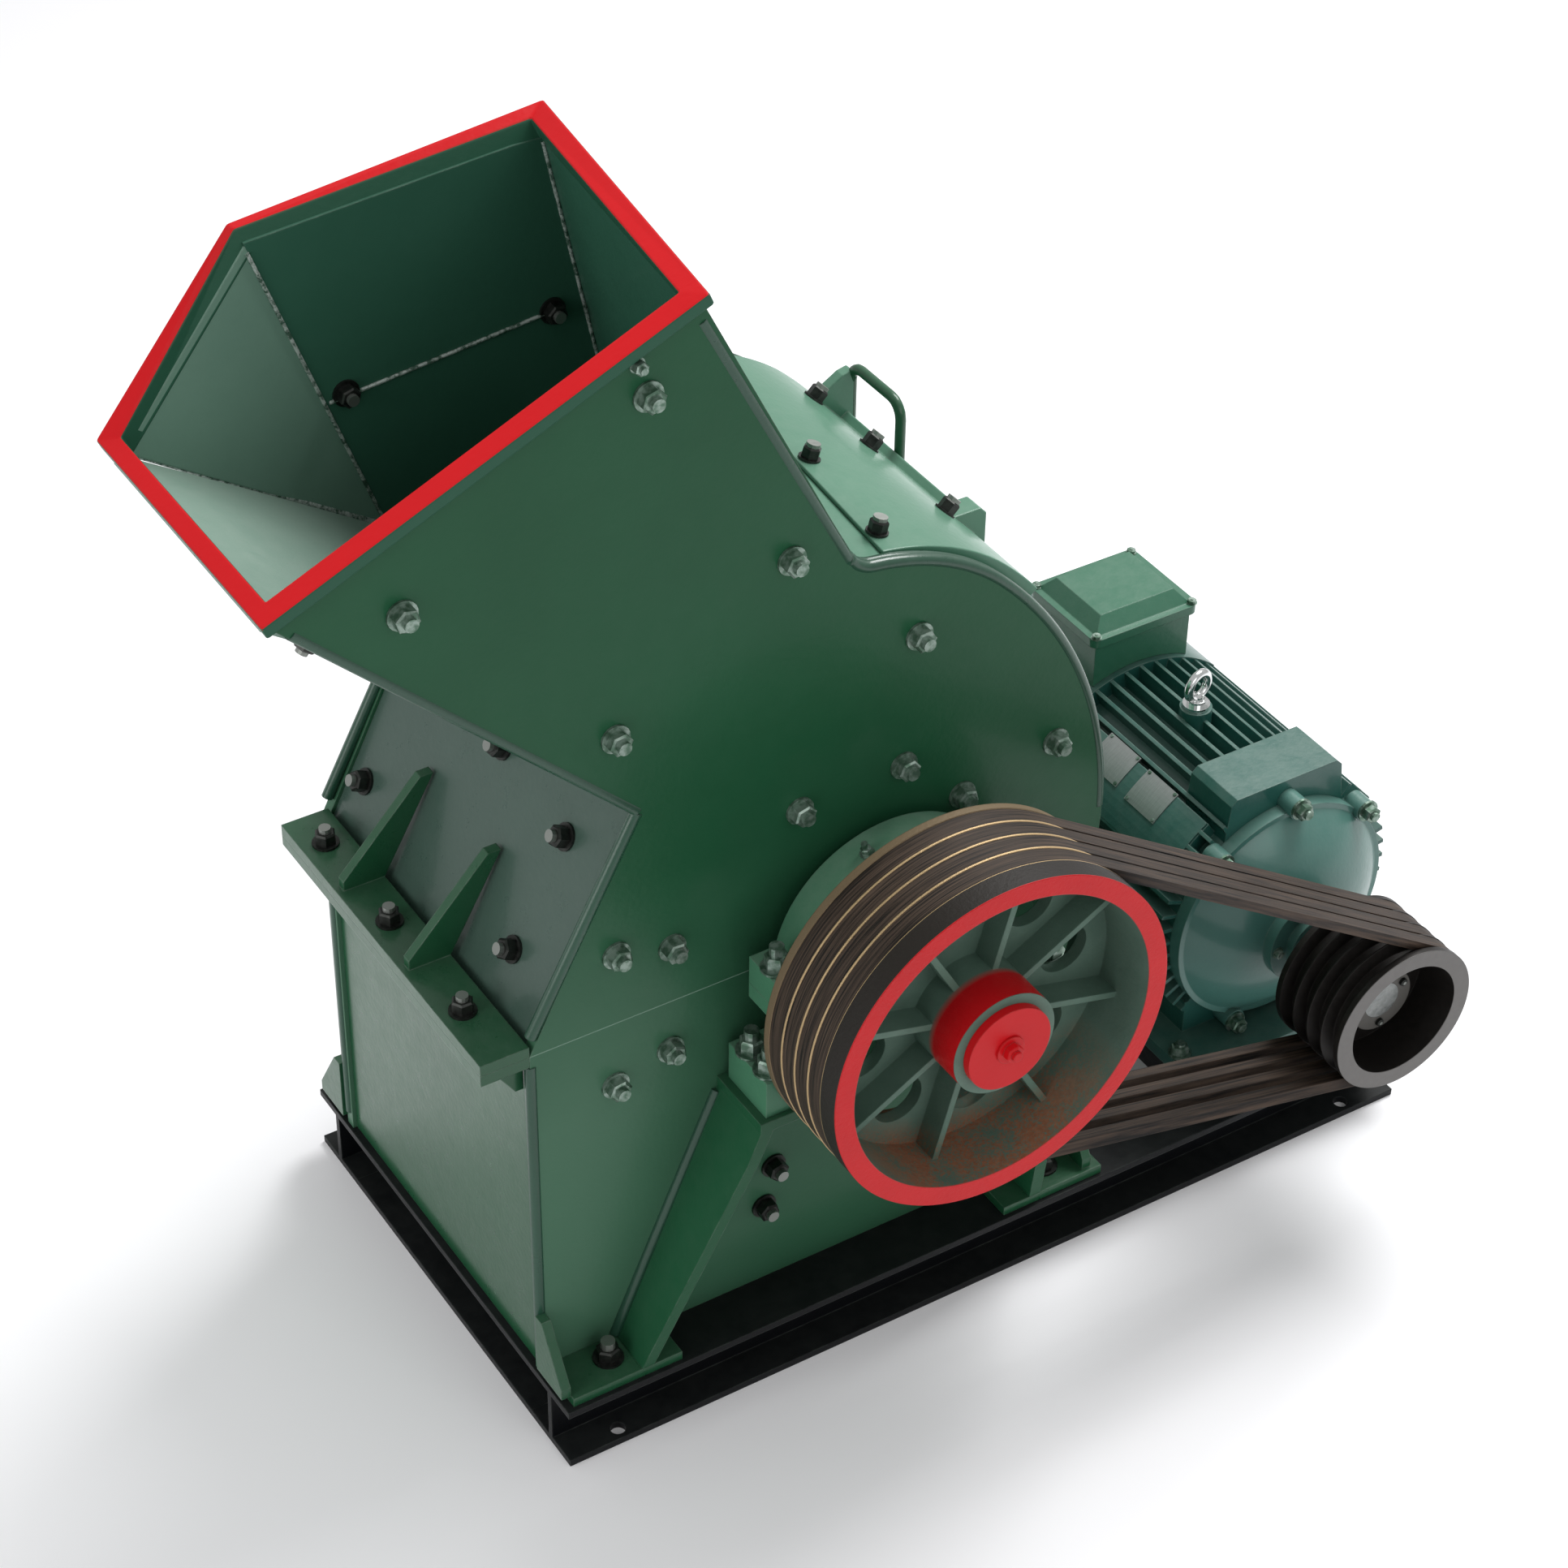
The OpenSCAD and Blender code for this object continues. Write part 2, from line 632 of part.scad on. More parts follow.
// half of a bent bar handle: a leg, a bend and half of the grip
module handle_half() {
  translate([0, handle_l / 2, -4]) cylinder(r = handle_r, h = handle_h - handle_bend + 4);
  translate([0, handle_l / 2 - handle_bend, handle_h - handle_bend]) rotate([90, 0, 90])
    rotate_extrude(angle = 90) translate([handle_bend, 0]) circle(r = handle_r);
  translate([0, -e, handle_h]) rotate([-90, 0, 0]) cylinder(r = handle_r, h = handle_l / 2 - handle_bend + e);
}

module bar_handle() {
  handle_half();
  mirror([0, 1, 0]) handle_half();
}

// bolted lid with a bar handle and a lifting lug welded on
module cover_lid() color("#2f5c40") place() {
  difference() {
    lid_pan();
    intersection() {
      rod(arc_x, arc_z, cover_r + 0.2, 0, case_w);
      slab(0, case_w) polygon([[arc_x, arc_z], [arc_x + 3 * arc_r, arc_z],
        [arc_x, arc_z] + 3 * arc_r * [cos(blend_a), sin(blend_a)]]);
    }
    translate([blend_c[0], -1, blend_c[1]]) rotate([0, -lid_high, 0]) translate([lid_r, 0, 0])
      rotate([0, lid_slope, 0]) translate([-2 * lid_t, 0, 0]) cube([6 * lid_t, case_w + 2, 4 * lid_t]);
    translate([blend_c[0], -1, blend_c[1]]) rotate([0, -lid_low, 0]) translate([lid_r, 0, 0])
      rotate([0, -lid_slope, 0]) translate([-2 * lid_t, 0, -4 * lid_t])
        cube([6 * lid_t, case_w + 2, 4 * lid_t]);
  }
  translate([blend_c[0], 0, blend_c[1]]) rotate([0, 90 - lid_low - 7, 0]) {
    translate([0, case_w - handle_in - handle_l / 2, lid_r + lid_t]) bar_handle();
    translate([-8, lug_in, lid_r + lid_t - 4]) cube([16, lug_l, lug_h + 4]);
  }
}

// inclined strut between a foot plate and an end of the seat, narrower at its foot
module strut(foot_x, seat_x) intersection() {
  slab(-seat_w, 0) polygon([[seat_x, seat_z - seat_t + e], [foot_x - strut_t / 2, base_h + foot_t],
    [foot_x + strut_t / 2, base_h + foot_t], [seat_x + strut_t, seat_z - seat_t + e]]);
  rotate([90, 0, 90]) linear_extrude(case_l)
    polygon([[0, base_h], [-foot_w, base_h + foot_t], [-seat_w, seat_z - seat_t - 40], [-seat_w, seat_z],
      [0, seat_z]]);
}

// seat plate with two inclined struts on one side of the casing
module pedestal() {
  translate([rotor_x - seat_half, -seat_w, seat_z - seat_t]) cube([2 * seat_half, seat_w, seat_t]);
  strut(strut_in, rotor_x - seat_half);
  strut(case_l - strut_in, rotor_x + seat_half - strut_t);
}

module pedestal_near() color("#1f4a30") place() pedestal();

module pedestal_far() color("#1f4a30") place() far_side() pedestal();

// lower half of a plummer block
module bearing_base() difference() {
  union() {
    translate([rotor_x - seat_half + 10, -house_gap - house_w, seat_z + 0.2])
      cube([2 * (seat_half - 10), house_w, block_h]);
    translate([rotor_x - house_r, -house_gap - house_w, seat_z + 0.2])
      cube([2 * house_r, house_w, split_z - seat_z - 0.2]);
    translate([rotor_x - ear_half, -house_w, split_z - ear_drop])
      cube([2 * ear_half, house_w - 2 * house_gap, ear_drop]);
  }
  rod(rotor_x, split_z, shaft_r + shaft_gap, -2 * house_gap - house_w, 0);
}

// upper half of a plummer block with its ears
module bearing_cap() difference() {
  union() {
    rod(rotor_x, split_z, house_r, -house_gap - house_w, -house_gap);
    translate([rotor_x - ear_half, -house_w, split_z]) cube([2 * ear_half, house_w - 2 * house_gap, ear_h]);
  }
  rod(rotor_x, split_z, shaft_r + shaft_gap, -2 * house_gap - house_w, 0);
  translate([rotor_x - 2 * house_r, -2 * house_gap - house_w, split_z - 2 * house_r + cap_gap])
    cube([4 * house_r, house_w + 4 * house_gap, 2 * house_r]);
}

module bearing_base_near() color("#3d6350") place() bearing_base();

module bearing_cap_near() color("#3d6350") place() bearing_cap();

module bearing_base_far() color("#3d6350") place() far_side() bearing_base();

module bearing_cap_far() color("#3d6350") place() far_side() bearing_cap();

module rotor_shaft() color("#8a8d8c") place()
  rod(rotor_x, split_z, shaft_r, sheave_front + 20, case_w + shaft_tail);

module rotor() color("#4a4c4c") place() difference() {
  y0 = plate_t + disc_side;
  union() {
    for (i = [0:disc_n - 1]) rod(rotor_x, split_z, disc_r, y0 + i * disc_pitch, y0 + i * disc_pitch + disc_t);
    rod(rotor_x, split_z, core_r, y0 + 1, case_w - y0 - 1);
    for (a = [45:90:315]) translate([rotor_x, 0, split_z]) rotate([0, a, 0]) {
      rod(0, rod_d, rod_r, y0 + 1, case_w - y0 - 1);
      for (i = [0:disc_n - 2])
        translate([-hammer_w / 2, y0 + i * disc_pitch + disc_t + hammer_gap, hammer_r - hammer_l])
          cube([hammer_w, disc_pitch - disc_t - 2 * hammer_gap, hammer_l]);
    }
  }
  rod(rotor_x, split_z, shaft_r, 0, case_w);
}

// half groove width at a depth below the pulley edge
function groove_half(d) = belt_w / 2 + belt_gap / cos(groove_a) + (belt_sink - d) * tan(groove_a);

// pulley rim outline with its grooves: radius and distance from the front face
module rim_outline(r, r_in, w, land) difference() {
  translate([r_in, 0]) square([r - r_in, w]);
  for (i = [0:groove_n - 1]) translate([r, land + (i + 0.5) * groove_pitch])
    polygon([[1, groove_half(-1)], [1, -groove_half(-1)], [-belt_h - 2, -groove_half(belt_h + 2)],
      [-belt_h - 2, groove_half(belt_h + 2)]]);
}

module large_pulley() color("#4a6656") place() translate([rotor_x, sheave_front, split_z]) rotate([-90, 0, 0])
  difference() {
    union() {
      rotate_extrude($fn = 180) rim_outline(sheave_r, sheave_in, sheave_w, sheave_land);
      difference() {
        translate([0, 0, web_in]) cylinder(r = sheave_in + 1, h = web_t, $fn = 180);
        for (a = [22.5:45:360]) rotate(a + spoke_turn) translate([hole_at, 0, web_in - 1])
          cylinder(r = hole_r, h = web_t + 2);
      }
      for (a = [0:45:315]) rotate(a + spoke_turn) translate([hub_r - 6, -spoke_t / 2, spoke_in])
        cube([sheave_in - hub_r + 7, spoke_t, web_in - spoke_in + 2]);
      cylinder(r = hub_r, h = sheave_w);
    }
    translate([0, 0, -1]) cylinder(r = shaft_r, h = sheave_w + 2);
  }

module hub_cap() color("#c3222b") place() rod(rotor_x, split_z, cap_r, sheave_front - 10, sheave_front);

// belt cross-section, radius from a pulley edge and offset along the axis
module belt_outline(inset) polygon([[-belt_sink - inset, belt_w / 2 - inset],
  [-belt_sink - inset, inset - belt_w / 2],
  [inset - belt_sink - belt_h, belt_h * tan(groove_a) - belt_w / 2 + inset],
  [inset - belt_sink - belt_h, belt_w / 2 - belt_h * tan(groove_a) - inset]]);

// one belt loop in the plane of its groove: two wrapped arcs and two strands let into them
module belt() {
  rotate(drive_a + wrap_a) rotate_extrude(angle = 360 - 2 * wrap_a, $fn = 180)
    translate([sheave_r, 0]) belt_outline(0);
  rotate(drive_a) translate([drive_d, 0, 0]) rotate(-wrap_a) rotate_extrude(angle = 2 * wrap_a, $fn = 180)
    translate([pinion_r, 0]) belt_outline(0);
  for (s = [1, -1]) rotate(drive_a + s * wrap_a) mirror([0, s > 0 ? 1 : 0, 0]) translate([0, -strand_lap, 0])
    rotate([-90, 0, 0]) linear_extrude(drive_d * sin(wrap_a) + 2 * strand_lap)
      translate([sheave_r, 0]) belt_outline(strand_inset);
}

module drive_belts() color("#1b1815") place() for (i = [0:groove_n - 1])
  translate([rotor_x, groove_y0 + i * groove_pitch, split_z]) rotate([90, 0, 0]) belt();

module frame_outline() {
  circle(r = fin_r - fin_h, $fn = 180);
  for (a = [0:fin_a:360 - fin_a]) rotate(a) translate([fin_r - fin_h - 4, -fin_t / 2])
    square([fin_h + 4, fin_t]);
}

// smooth seat on the frame, from an angle range and a radius
module frame_seat(a0, a1, r) intersection() {
  circle(r = r, $fn = 180);
  polygon([[0, 0], 2 * r * [cos(a0), sin(a0)], 2 * r * [cos((a0 + a1) / 2), sin((a0 + a1) / 2)],
    2 * r * [cos(a1), sin(a1)]]);
}

// flat raised pad at the front of the frame
module front_pad() polygon([[-pad_half - 7, fin_r - fin_h - 40], [-pad_half, fin_r + front_up - 8],
  [8 - pad_half, fin_r + front_up], [pad_half - 8, fin_r + front_up], [pad_half, fin_r + front_up - 8],
  [pad_half + 7, fin_r - fin_h - 40]]);

module motor_frame() color("#1f4f48") place() {
  slab(frame_y, frame_y + frame_len) translate([motor_x, motor_z]) frame_outline();
  slab(frame_y, frame_y + front_seat) translate([motor_x + box_step, motor_z]) front_pad();
  slab(frame_y + panel_in, frame_y + panel_mid) translate([motor_x, motor_z]) frame_seat(123, 150, fin_r - 2);
  slab(frame_y + panel_mid, frame_y + panel_out) translate([motor_x, motor_z])
    frame_seat(123, 150, fin_r - 8);
  slab(box_y - 70, frame_y + frame_len) translate([motor_x, motor_z]) frame_seat(48, 132, fin_r + cowl_over);
  translate([motor_x, 208, motor_z + fin_r - fin_h - 4]) cylinder(r = 20, h = fin_h + 14);
  for (y = [-36, frame_y + frame_len - 130]) translate([motor_x - feet_half, y, feet_z])
    cube([2 * feet_half, 130, feet_t]);
  for (y = [frame_y, frame_y + frame_len - 110]) translate([motor_x - 118, y, feet_z + feet_t - e])
    cube([236, 58, motor_z - 110 - feet_z - feet_t]);
}

module motor_shield() color("#1f4f48") place() difference() {
  union() {
    rod(motor_x, motor_z, shield_r, frame_y - 18, frame_y);
    intersection() {
      translate([motor_x, frame_y - 18 - dome_l + dome_s, motor_z]) sphere(r = dome_s, $fn = 180);
      rod(motor_x, motor_z, shield_r - dome_in, frame_y - 18 - dome_l, frame_y - 18 + e);
    }
    rod(motor_x, motor_z, cap_flange_r, frame_y - 24 - dome_l, frame_y - 18);
    rod(motor_x, motor_z, 40, frame_y - 36 - dome_l, frame_y - 18);
    for (a = [45, 88, 131, 248, 292]) translate([motor_x, frame_y, motor_z]) rotate([90, 0, 0]) rotate(a)
      translate([shield_r + 5, 0, 0]) cylinder(r = 14, h = 26);
  }
  rod(motor_x, motor_z, pin_r + shaft_gap, -100, frame_y + 10);
  translate([motor_x - shield_r, frame_y - 2 * dome_l, 0])
    cube([2 * shield_r, 3 * dome_l, feet_z + feet_t + 0.4]);
}

module motor_cowl() color("#1f4f48") place() {
  rod(motor_x, motor_z, fin_r + cowl_over, frame_y + frame_len + 0.2, frame_y + frame_len + cowl_len - 22);
  translate([motor_x, frame_y + frame_len + cowl_len, motor_z]) rotate([90, 0, 0])
    cylinder(r1 = fin_r - 20, r2 = fin_r + cowl_over, h = 22 + e);
}

module terminal_box() color("#1f4f48") place() difference() {
  translate([motor_x + box_step - box_l / 2, box_y - box_w / 2, motor_z + fin_r / 2])
    cube([box_l, box_w, box_z - box_lid - motor_z - fin_r / 2]);
  rod(motor_x, motor_z, fin_r + cowl_over + 0.2, box_y - box_w, box_y + box_w);
}

// lid with a raised bevelled middle
module terminal_lid() color("#1f4f48") place() translate([motor_x + box_step, box_y, box_z - box_lid + 0.2]) {
  translate([-box_l / 2 - box_over + box_round, -box_w / 2 - box_over, 0])
    cube([box_l + 2 * (box_over - box_round), box_w + 2 * box_over, box_edge]);
  translate([-box_l / 2 - box_over, -box_w / 2 - box_over + box_round, 0])
    cube([box_l + 2 * box_over, box_w + 2 * (box_over - box_round), box_edge]);
  for (x = [-1, 1], y = [-1, 1])
    translate([x * (box_l / 2 + box_over - box_round), y * (box_w / 2 + box_over - box_round), 0])
      cylinder(r = box_round, h = box_edge);
  intersection() {
    rotate([90, 0, 0]) translate([0, 0, -box_w / 2]) linear_extrude(box_w)
      polygon([[-box_l / 2, box_edge - 1], [box_l / 2, box_edge - 1], [box_l / 2 - box_bevel, box_lid - 0.2],
        [box_bevel - box_l / 2, box_lid - 0.2]]);
    rotate([90, 0, 90]) translate([0, 0, -box_l / 2]) linear_extrude(box_l)
      polygon([[-box_w / 2, box_edge - 1], [box_w / 2, box_edge - 1], [box_w / 2 - box_bevel, box_lid - 0.2],
        [box_bevel - box_w / 2, box_lid - 0.2]]);
  }
}

module motor_shaft() color("#8a8d8c") place() rod(motor_x, motor_z, pin_r, pinion_front + 40, frame_y);

module motor_pulley() color("#1d1a18") place() translate([motor_x, pinion_front, motor_z]) rotate([-90, 0, 0])
  difference() {
    union() {
      rotate_extrude($fn = 180) rim_outline(pinion_r, pinion_r - 22, pinion_w, pinion_land);
      translate([0, 0, 62]) cylinder(r = pinion_r - 21, h = 20, $fn = 180);
      translate([0, 0, 40]) cylinder(r = 42, h = pinion_w - 40);
    }
    translate([0, 0, -1]) cylinder(r = pin_r, h = pinion_w + 2);
  }

base_beam_near();
base_beam_far();
base_end_left();
base_end_right();
base_cross();
motor_rail_left();
motor_rail_right();
lower_plate_near();
lower_plate_far();
lower_plate_left();
lower_plate_right();
feet_near();
feet_far();
split_flange_lower();
split_flange_upper();
upper_plate_near();
upper_plate_far();
breast_plate();
hopper_floor();
hopper_far();
hopper_corner();
hopper_back();
hopper_rim();
top_deck();
rotor_cover();
cover_lid();
pedestal_near();
pedestal_far();
bearing_base_near();
bearing_cap_near();
bearing_base_far();
bearing_cap_far();
rotor_shaft();
rotor();
large_pulley();
hub_cap();
drive_belts();
motor_frame();
motor_shield();
motor_cowl();
terminal_box();
terminal_lid();
motor_shaft();
motor_pulley();
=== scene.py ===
import bmesh
import bpy
import math
from mathutils import Matrix, Vector
from mathutils.bvhtree import BVHTree


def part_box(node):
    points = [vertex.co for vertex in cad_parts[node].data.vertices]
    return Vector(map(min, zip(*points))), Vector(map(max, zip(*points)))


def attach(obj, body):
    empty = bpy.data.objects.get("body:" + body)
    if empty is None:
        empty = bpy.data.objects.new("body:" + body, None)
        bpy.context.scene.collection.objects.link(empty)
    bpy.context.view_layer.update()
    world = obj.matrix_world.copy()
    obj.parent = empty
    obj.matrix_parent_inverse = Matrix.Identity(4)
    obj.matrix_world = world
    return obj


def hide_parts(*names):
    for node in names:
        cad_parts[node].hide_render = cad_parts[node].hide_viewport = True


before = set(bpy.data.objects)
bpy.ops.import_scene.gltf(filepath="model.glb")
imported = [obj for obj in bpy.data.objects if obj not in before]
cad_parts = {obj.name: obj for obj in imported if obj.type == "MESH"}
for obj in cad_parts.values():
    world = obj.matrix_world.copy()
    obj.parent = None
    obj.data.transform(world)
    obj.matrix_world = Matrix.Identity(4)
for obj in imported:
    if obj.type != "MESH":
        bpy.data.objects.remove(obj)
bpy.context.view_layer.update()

# Base frame: two rolled I-beams, two end channels, a cross channel and two box rails under the motor.
# Hot-rolled steel, saw-cut and welded, brushed with black paint; grey dust settles on the flanges.


def linear(code):
    """An sRGB hex colour as linear red, green, blue and alpha."""
    parts = [int(code[i:i + 2], 16) / 255 for i in (1, 3, 5)]
    return [c / 12.92 if c <= 0.04045 else ((c + 0.055) / 1.055) ** 2.4 for c in parts] + [1.0]


def add(tree, kind, inputs=None, **settings):
    """A new node with its settings, its input values and its links."""
    node = tree.nodes.new(kind)
    for key, value in settings.items():
        setattr(node, key, value)
    for key, value in (inputs or {}).items():
        if isinstance(value, bpy.types.NodeSocket):
            tree.links.new(value, node.inputs[key])
        else:
            node.inputs[key].default_value = value
    return node


def finish_of(name, **sockets):
    """A new material with a plain shader whose constant sockets are set directly, and its object coordinates."""
    made = bpy.data.materials.new(name)
    made.use_nodes = True
    tree = made.node_tree
    tree.nodes.clear()
    shader = add(tree, "ShaderNodeBsdfPrincipled", {k.replace("_", " "): v for k, v in sockets.items()})
    add(tree, "ShaderNodeOutputMaterial", {"Surface": shader.outputs[0]})
    return made, tree, shader, add(tree, "ShaderNodeTexCoord").outputs["Object"]


def sprayed_paint(name, deep, pale, rough, peel, dust, edge_wear_and_highlight, coat):
    """Paint sprayed on plate: mottled colour, orange peel of a given size in mm, dust on top, and lighter edges that
    are partly rubbed paint and partly a painted highlight.
    """
    made, tree, shader, place = finish_of(name, Coat_Weight=coat, Coat_Roughness=0.12, Specular_IOR_Level=0.12 + coat)
    cloud = add(tree, "ShaderNodeTexNoise", {"Vector": place, "Scale": 1000 / 260, "Detail": 5.0, "Roughness": 0.6})
    tint = add(tree, "ShaderNodeMix", {"Factor": cloud.outputs["Fac"], 6: linear(deep), 7: linear(pale)},
               data_type="RGBA")
    side = add(tree, "ShaderNodeNewGeometry")
    up = add(tree, "ShaderNodeSeparateXYZ", {"Vector": side.outputs["Normal"]})
    specks = add(tree, "ShaderNodeTexNoise", {"Vector": place, "Scale": 1000 / 24, "Detail": 8.0, "Roughness": 0.7})
    settle = add(tree, "ShaderNodeMath", {0: up.outputs["Z"], 1: specks.outputs["Fac"]}, operation="MULTIPLY")
    film = add(tree, "ShaderNodeMapRange", {"Value": settle.outputs[0], "From Min": 0.1, "From Max": 0.8,
                                            "To Max": dust})
    dusty = add(tree, "ShaderNodeMix", {"Factor": film.outputs[0], 6: tint.outputs[2], 7: linear("#9aa39a")},
                data_type="RGBA")
    # Lighter edges: partly rubbed paint, partly a painted edge highlight.
    round_edge = add(tree, "ShaderNodeBevel", {"Radius": 0.0022}, samples=4)
    flat = add(tree, "ShaderNodeVectorMath", {0: round_edge.outputs[0], 1: side.outputs["True Normal"]},
               operation="DOT_PRODUCT")
    edge = add(tree, "ShaderNodeMapRange", {"Value": flat.outputs["Value"], "From Min": 0.995, "From Max": 0.8})
    chips = add(tree, "ShaderNodeMapRange", {"Value": specks.outputs["Fac"], "From Min": 0.42, "From Max": 0.62,
                                             "To Min": 0.2})
    rub = add(tree, "ShaderNodeMath", {0: edge.outputs[0], 1: chips.outputs[0]}, operation="MULTIPLY")
    rub_and_highlight = add(tree, "ShaderNodeMath", {0: rub.outputs[0], 1: edge_wear_and_highlight}, operation="MULTIPLY")
    worn = add(tree, "ShaderNodeMix", {"Factor": rub_and_highlight.outputs[0], 6: dusty.outputs[2], 7: linear("#a9b8ab")},
               data_type="RGBA")
    tree.links.new(worn.outputs[2], shader.inputs["Base Color"])
    matt = add(tree, "ShaderNodeMapRange", {"Value": specks.outputs["Fac"], "From Min": 0.3, "From Max": 0.7,
                                            "To Min": rough - 0.05, "To Max": rough + 0.07})
    tree.links.new(matt.outputs[0], shader.inputs["Roughness"])
    skin = add(tree, "ShaderNodeTexNoise", {"Vector": place, "Scale": 1000 / peel, "Detail": 2.0})
    bump = add(tree, "ShaderNodeBump", {"Height": skin.outputs["Fac"], "Strength": 0.42, "Distance": 0.0006,
                                        "Normal": round_edge.outputs[0]})
    tree.links.new(bump.outputs[0], shader.inputs["Normal"])
    return made


def coat(made, *names):
    """Gives CAD nodes a material."""
    for name in names:
        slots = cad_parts[name].data.materials
        slots.clear()
        slots.append(made)


# Brushed black paint: near black with a soft sheen, greyer where dust lies on top.
black_paint = sprayed_paint("black_paint_on_rolled_steel", "#08090b", "#121417", 0.42, 9, 0.04, 0.10, 0.03)
coat(black_paint, "base_beam_near", "base_beam_far", "base_end_left", "base_end_right", "base_cross",
     "motor_rail_left", "motor_rail_right")

# Lower casing: two side plates, two end plates, the lower split flange, the feet and the bearing pedestals.
# 14 mm steel plate, flame-cut and fillet-welded along its edges, sprayed with deep green enamel.
# The feet are held to the base by black hex bolts.
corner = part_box("lower_plate_near")[0]
# In mm from that corner and the ground: the casing's width, the split between its halves, the rotor's axis.
case_w, split_z, rotor_x = 480, 564, 436
down = (0, 0, -1)


def at(x, y, z):
    """A point given in mm from the casing's left end, near face and the ground."""
    return Vector((corner.x + x / 1000, corner.y + y / 1000, z / 1000))


def colour_of(made):
    """A paint's tree, the socket that its colour comes from and the one that it goes to."""
    shader = next(n for n in made.node_tree.nodes if n.type == "BSDF_PRINCIPLED")
    goal = shader.inputs["Base Color"]
    return made.node_tree, goal.links[0].from_socket, goal


# Green enamel on the ends: deep, glossy, with an orange peel drawn at 7 mm so that it shows.
green_enamel = sprayed_paint("green_enamel_on_plate", "#17452c", "#215638", 0.30, 7, 0.08, 0.30, 0.22)
# The same enamel, rubbed satin, on the pedestals; on the flat sides it is also painted paler low down
# towards the left end as a painted sheen, with a pale line of filler where the two halves meet.
pedestal_enamel = sprayed_paint("satin_enamel_on_pedestals", "#18482e", "#24593c", 0.34, 7, 0.08, 0.30, 0.05)
side_enamel = sprayed_paint("satin_enamel_on_sides", "#18482e", "#24593c", 0.34, 7, 0.08, 0.30, 0.05)
tree, painted, goal = colour_of(side_enamel)
height = add(tree, "ShaderNodeSeparateXYZ", {"Vector": add(tree, "ShaderNodeTexCoord").outputs["Object"]})
from_split = add(tree, "ShaderNodeMath", {0: height.outputs["Z"], 1: split_z / 1000}, operation="SUBTRACT")
apart = add(tree, "ShaderNodeMath", {0: from_split.outputs[0]}, operation="ABSOLUTE")
joint = add(tree, "ShaderNodeMapRange", {"Value": apart.outputs[0], "From Min": 0.0004, "From Max": 0.0009,
                                         "To Min": 0.8, "To Max": 0.0})
low = add(tree, "ShaderNodeMapRange", {"Value": height.outputs["Z"], "From Min": 0.74, "From Max": 0.44,
                                       "To Max": 0.36})
open_end = add(tree, "ShaderNodeMapRange", {"Value": height.outputs["X"], "From Min": -0.53, "From Max": -0.27,
                                            "To Min": 1.0, "To Max": 0.4})
share = add(tree, "ShaderNodeMath", {0: low.outputs[0], 1: open_end.outputs[0]}, operation="MULTIPLY")
# Painted sheen: the sides are mixed towards a pale green low down and towards the left end.
sheen_lightened = add(tree, "ShaderNodeMix", {"Factor": share.outputs[0], 6: painted, 7: linear("#6c927c")}, data_type="RGBA")
seamed = add(tree, "ShaderNodeMix", {"Factor": joint.outputs[0], 6: sheen_lightened.outputs[2], 7: linear("#86a594")},
             data_type="RGBA")
tree.links.new(seamed.outputs[2], goal)
coat(green_enamel, "lower_plate_left", "lower_plate_right", "feet_near", "feet_far", "split_flange_lower")
coat(side_enamel, "lower_plate_near", "lower_plate_far")
coat(pedestal_enamel, "pedestal_near", "pedestal_far")


def onto(node, start, along):
    """Where a line from a start point first meets a CAD node, and the surface's direction there."""
    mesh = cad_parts[node].data
    hull = BVHTree.FromPolygons([v.co for v in mesh.vertices], [p.vertices for p in mesh.polygons])
    spot, normal, _, _ = hull.ray_cast(start, Vector(along).normalized())
    if spot is None:
        raise ValueError("no surface of %s in line with %s" % (node, tuple(start)))
    return spot, normal


def group_of(name, sizes):
    """A new Geometry Nodes tree with named size inputs; returns the tree and its input node."""
    tree = bpy.data.node_groups.new(name, "GeometryNodeTree")
    tree.interface.new_socket("Geometry", in_out="INPUT", socket_type="NodeSocketGeometry")
    for label, kind, value in sizes:
        socket = tree.interface.new_socket(label, in_out="INPUT", socket_type="NodeSocket" + kind)
        if value is not None:
            socket.default_value = value
    tree.interface.new_socket("Geometry", in_out="OUTPUT", socket_type="NodeSocketGeometry")
    return tree, add(tree, "NodeGroupInput")


# Hex bolts: washer, head with a chamfered top and a short stud end, one on each point, turned at random.
bolts, given = group_of("hex_bolts", [
    ("Head Radius", "Float", 0.012), ("Head Height", "Float", 0.010), ("Washer Radius", "Float", 0.015),
    ("Washer Thickness", "Float", 0.003), ("Stud Radius", "Float", 0.006), ("Stud Length", "Float", 0.005),
    ("Head Sides", "Int", 6), ("Seed", "Int", 4), ("Material", "Material", None)])
g = given.outputs
full_turn = 6.28
narrow = add(bolts, "ShaderNodeMath", {0: g["Head Radius"], 1: 0.84}, operation="MULTIPLY")
slope = add(bolts, "ShaderNodeMath", {0: g["Head Height"], 1: 0.16}, operation="MULTIPLY")
shapes = []
for sides, top, bottom, depth in ((20, g["Washer Radius"], g["Washer Radius"], g["Washer Thickness"]),
                                  (g["Head Sides"], g["Head Radius"], g["Head Radius"], g["Head Height"]),
                                  (g["Head Sides"], narrow.outputs[0], g["Head Radius"], slope.outputs[0]),
                                  (12, g["Stud Radius"], g["Stud Radius"], g["Stud Length"])):
    shapes.append(add(bolts, "GeometryNodeMeshCone",
                      {"Vertices": sides, "Radius Top": top, "Radius Bottom": bottom, "Depth": depth}))
washer, head, crown, stud = shapes
crown_z = add(bolts, "ShaderNodeMath", {0: g["Washer Thickness"], 1: g["Head Height"]}, operation="ADD")
stud_z = add(bolts, "ShaderNodeMath", {0: crown_z.outputs[0], 1: slope.outputs[0]}, operation="ADD")
bright = add(bolts, "GeometryNodeStoreNamedAttribute", {"Geometry": stud.outputs[0], "Name": "tip", "Value": 1.0},
             data_type="FLOAT")
stack = [washer.outputs[0]]
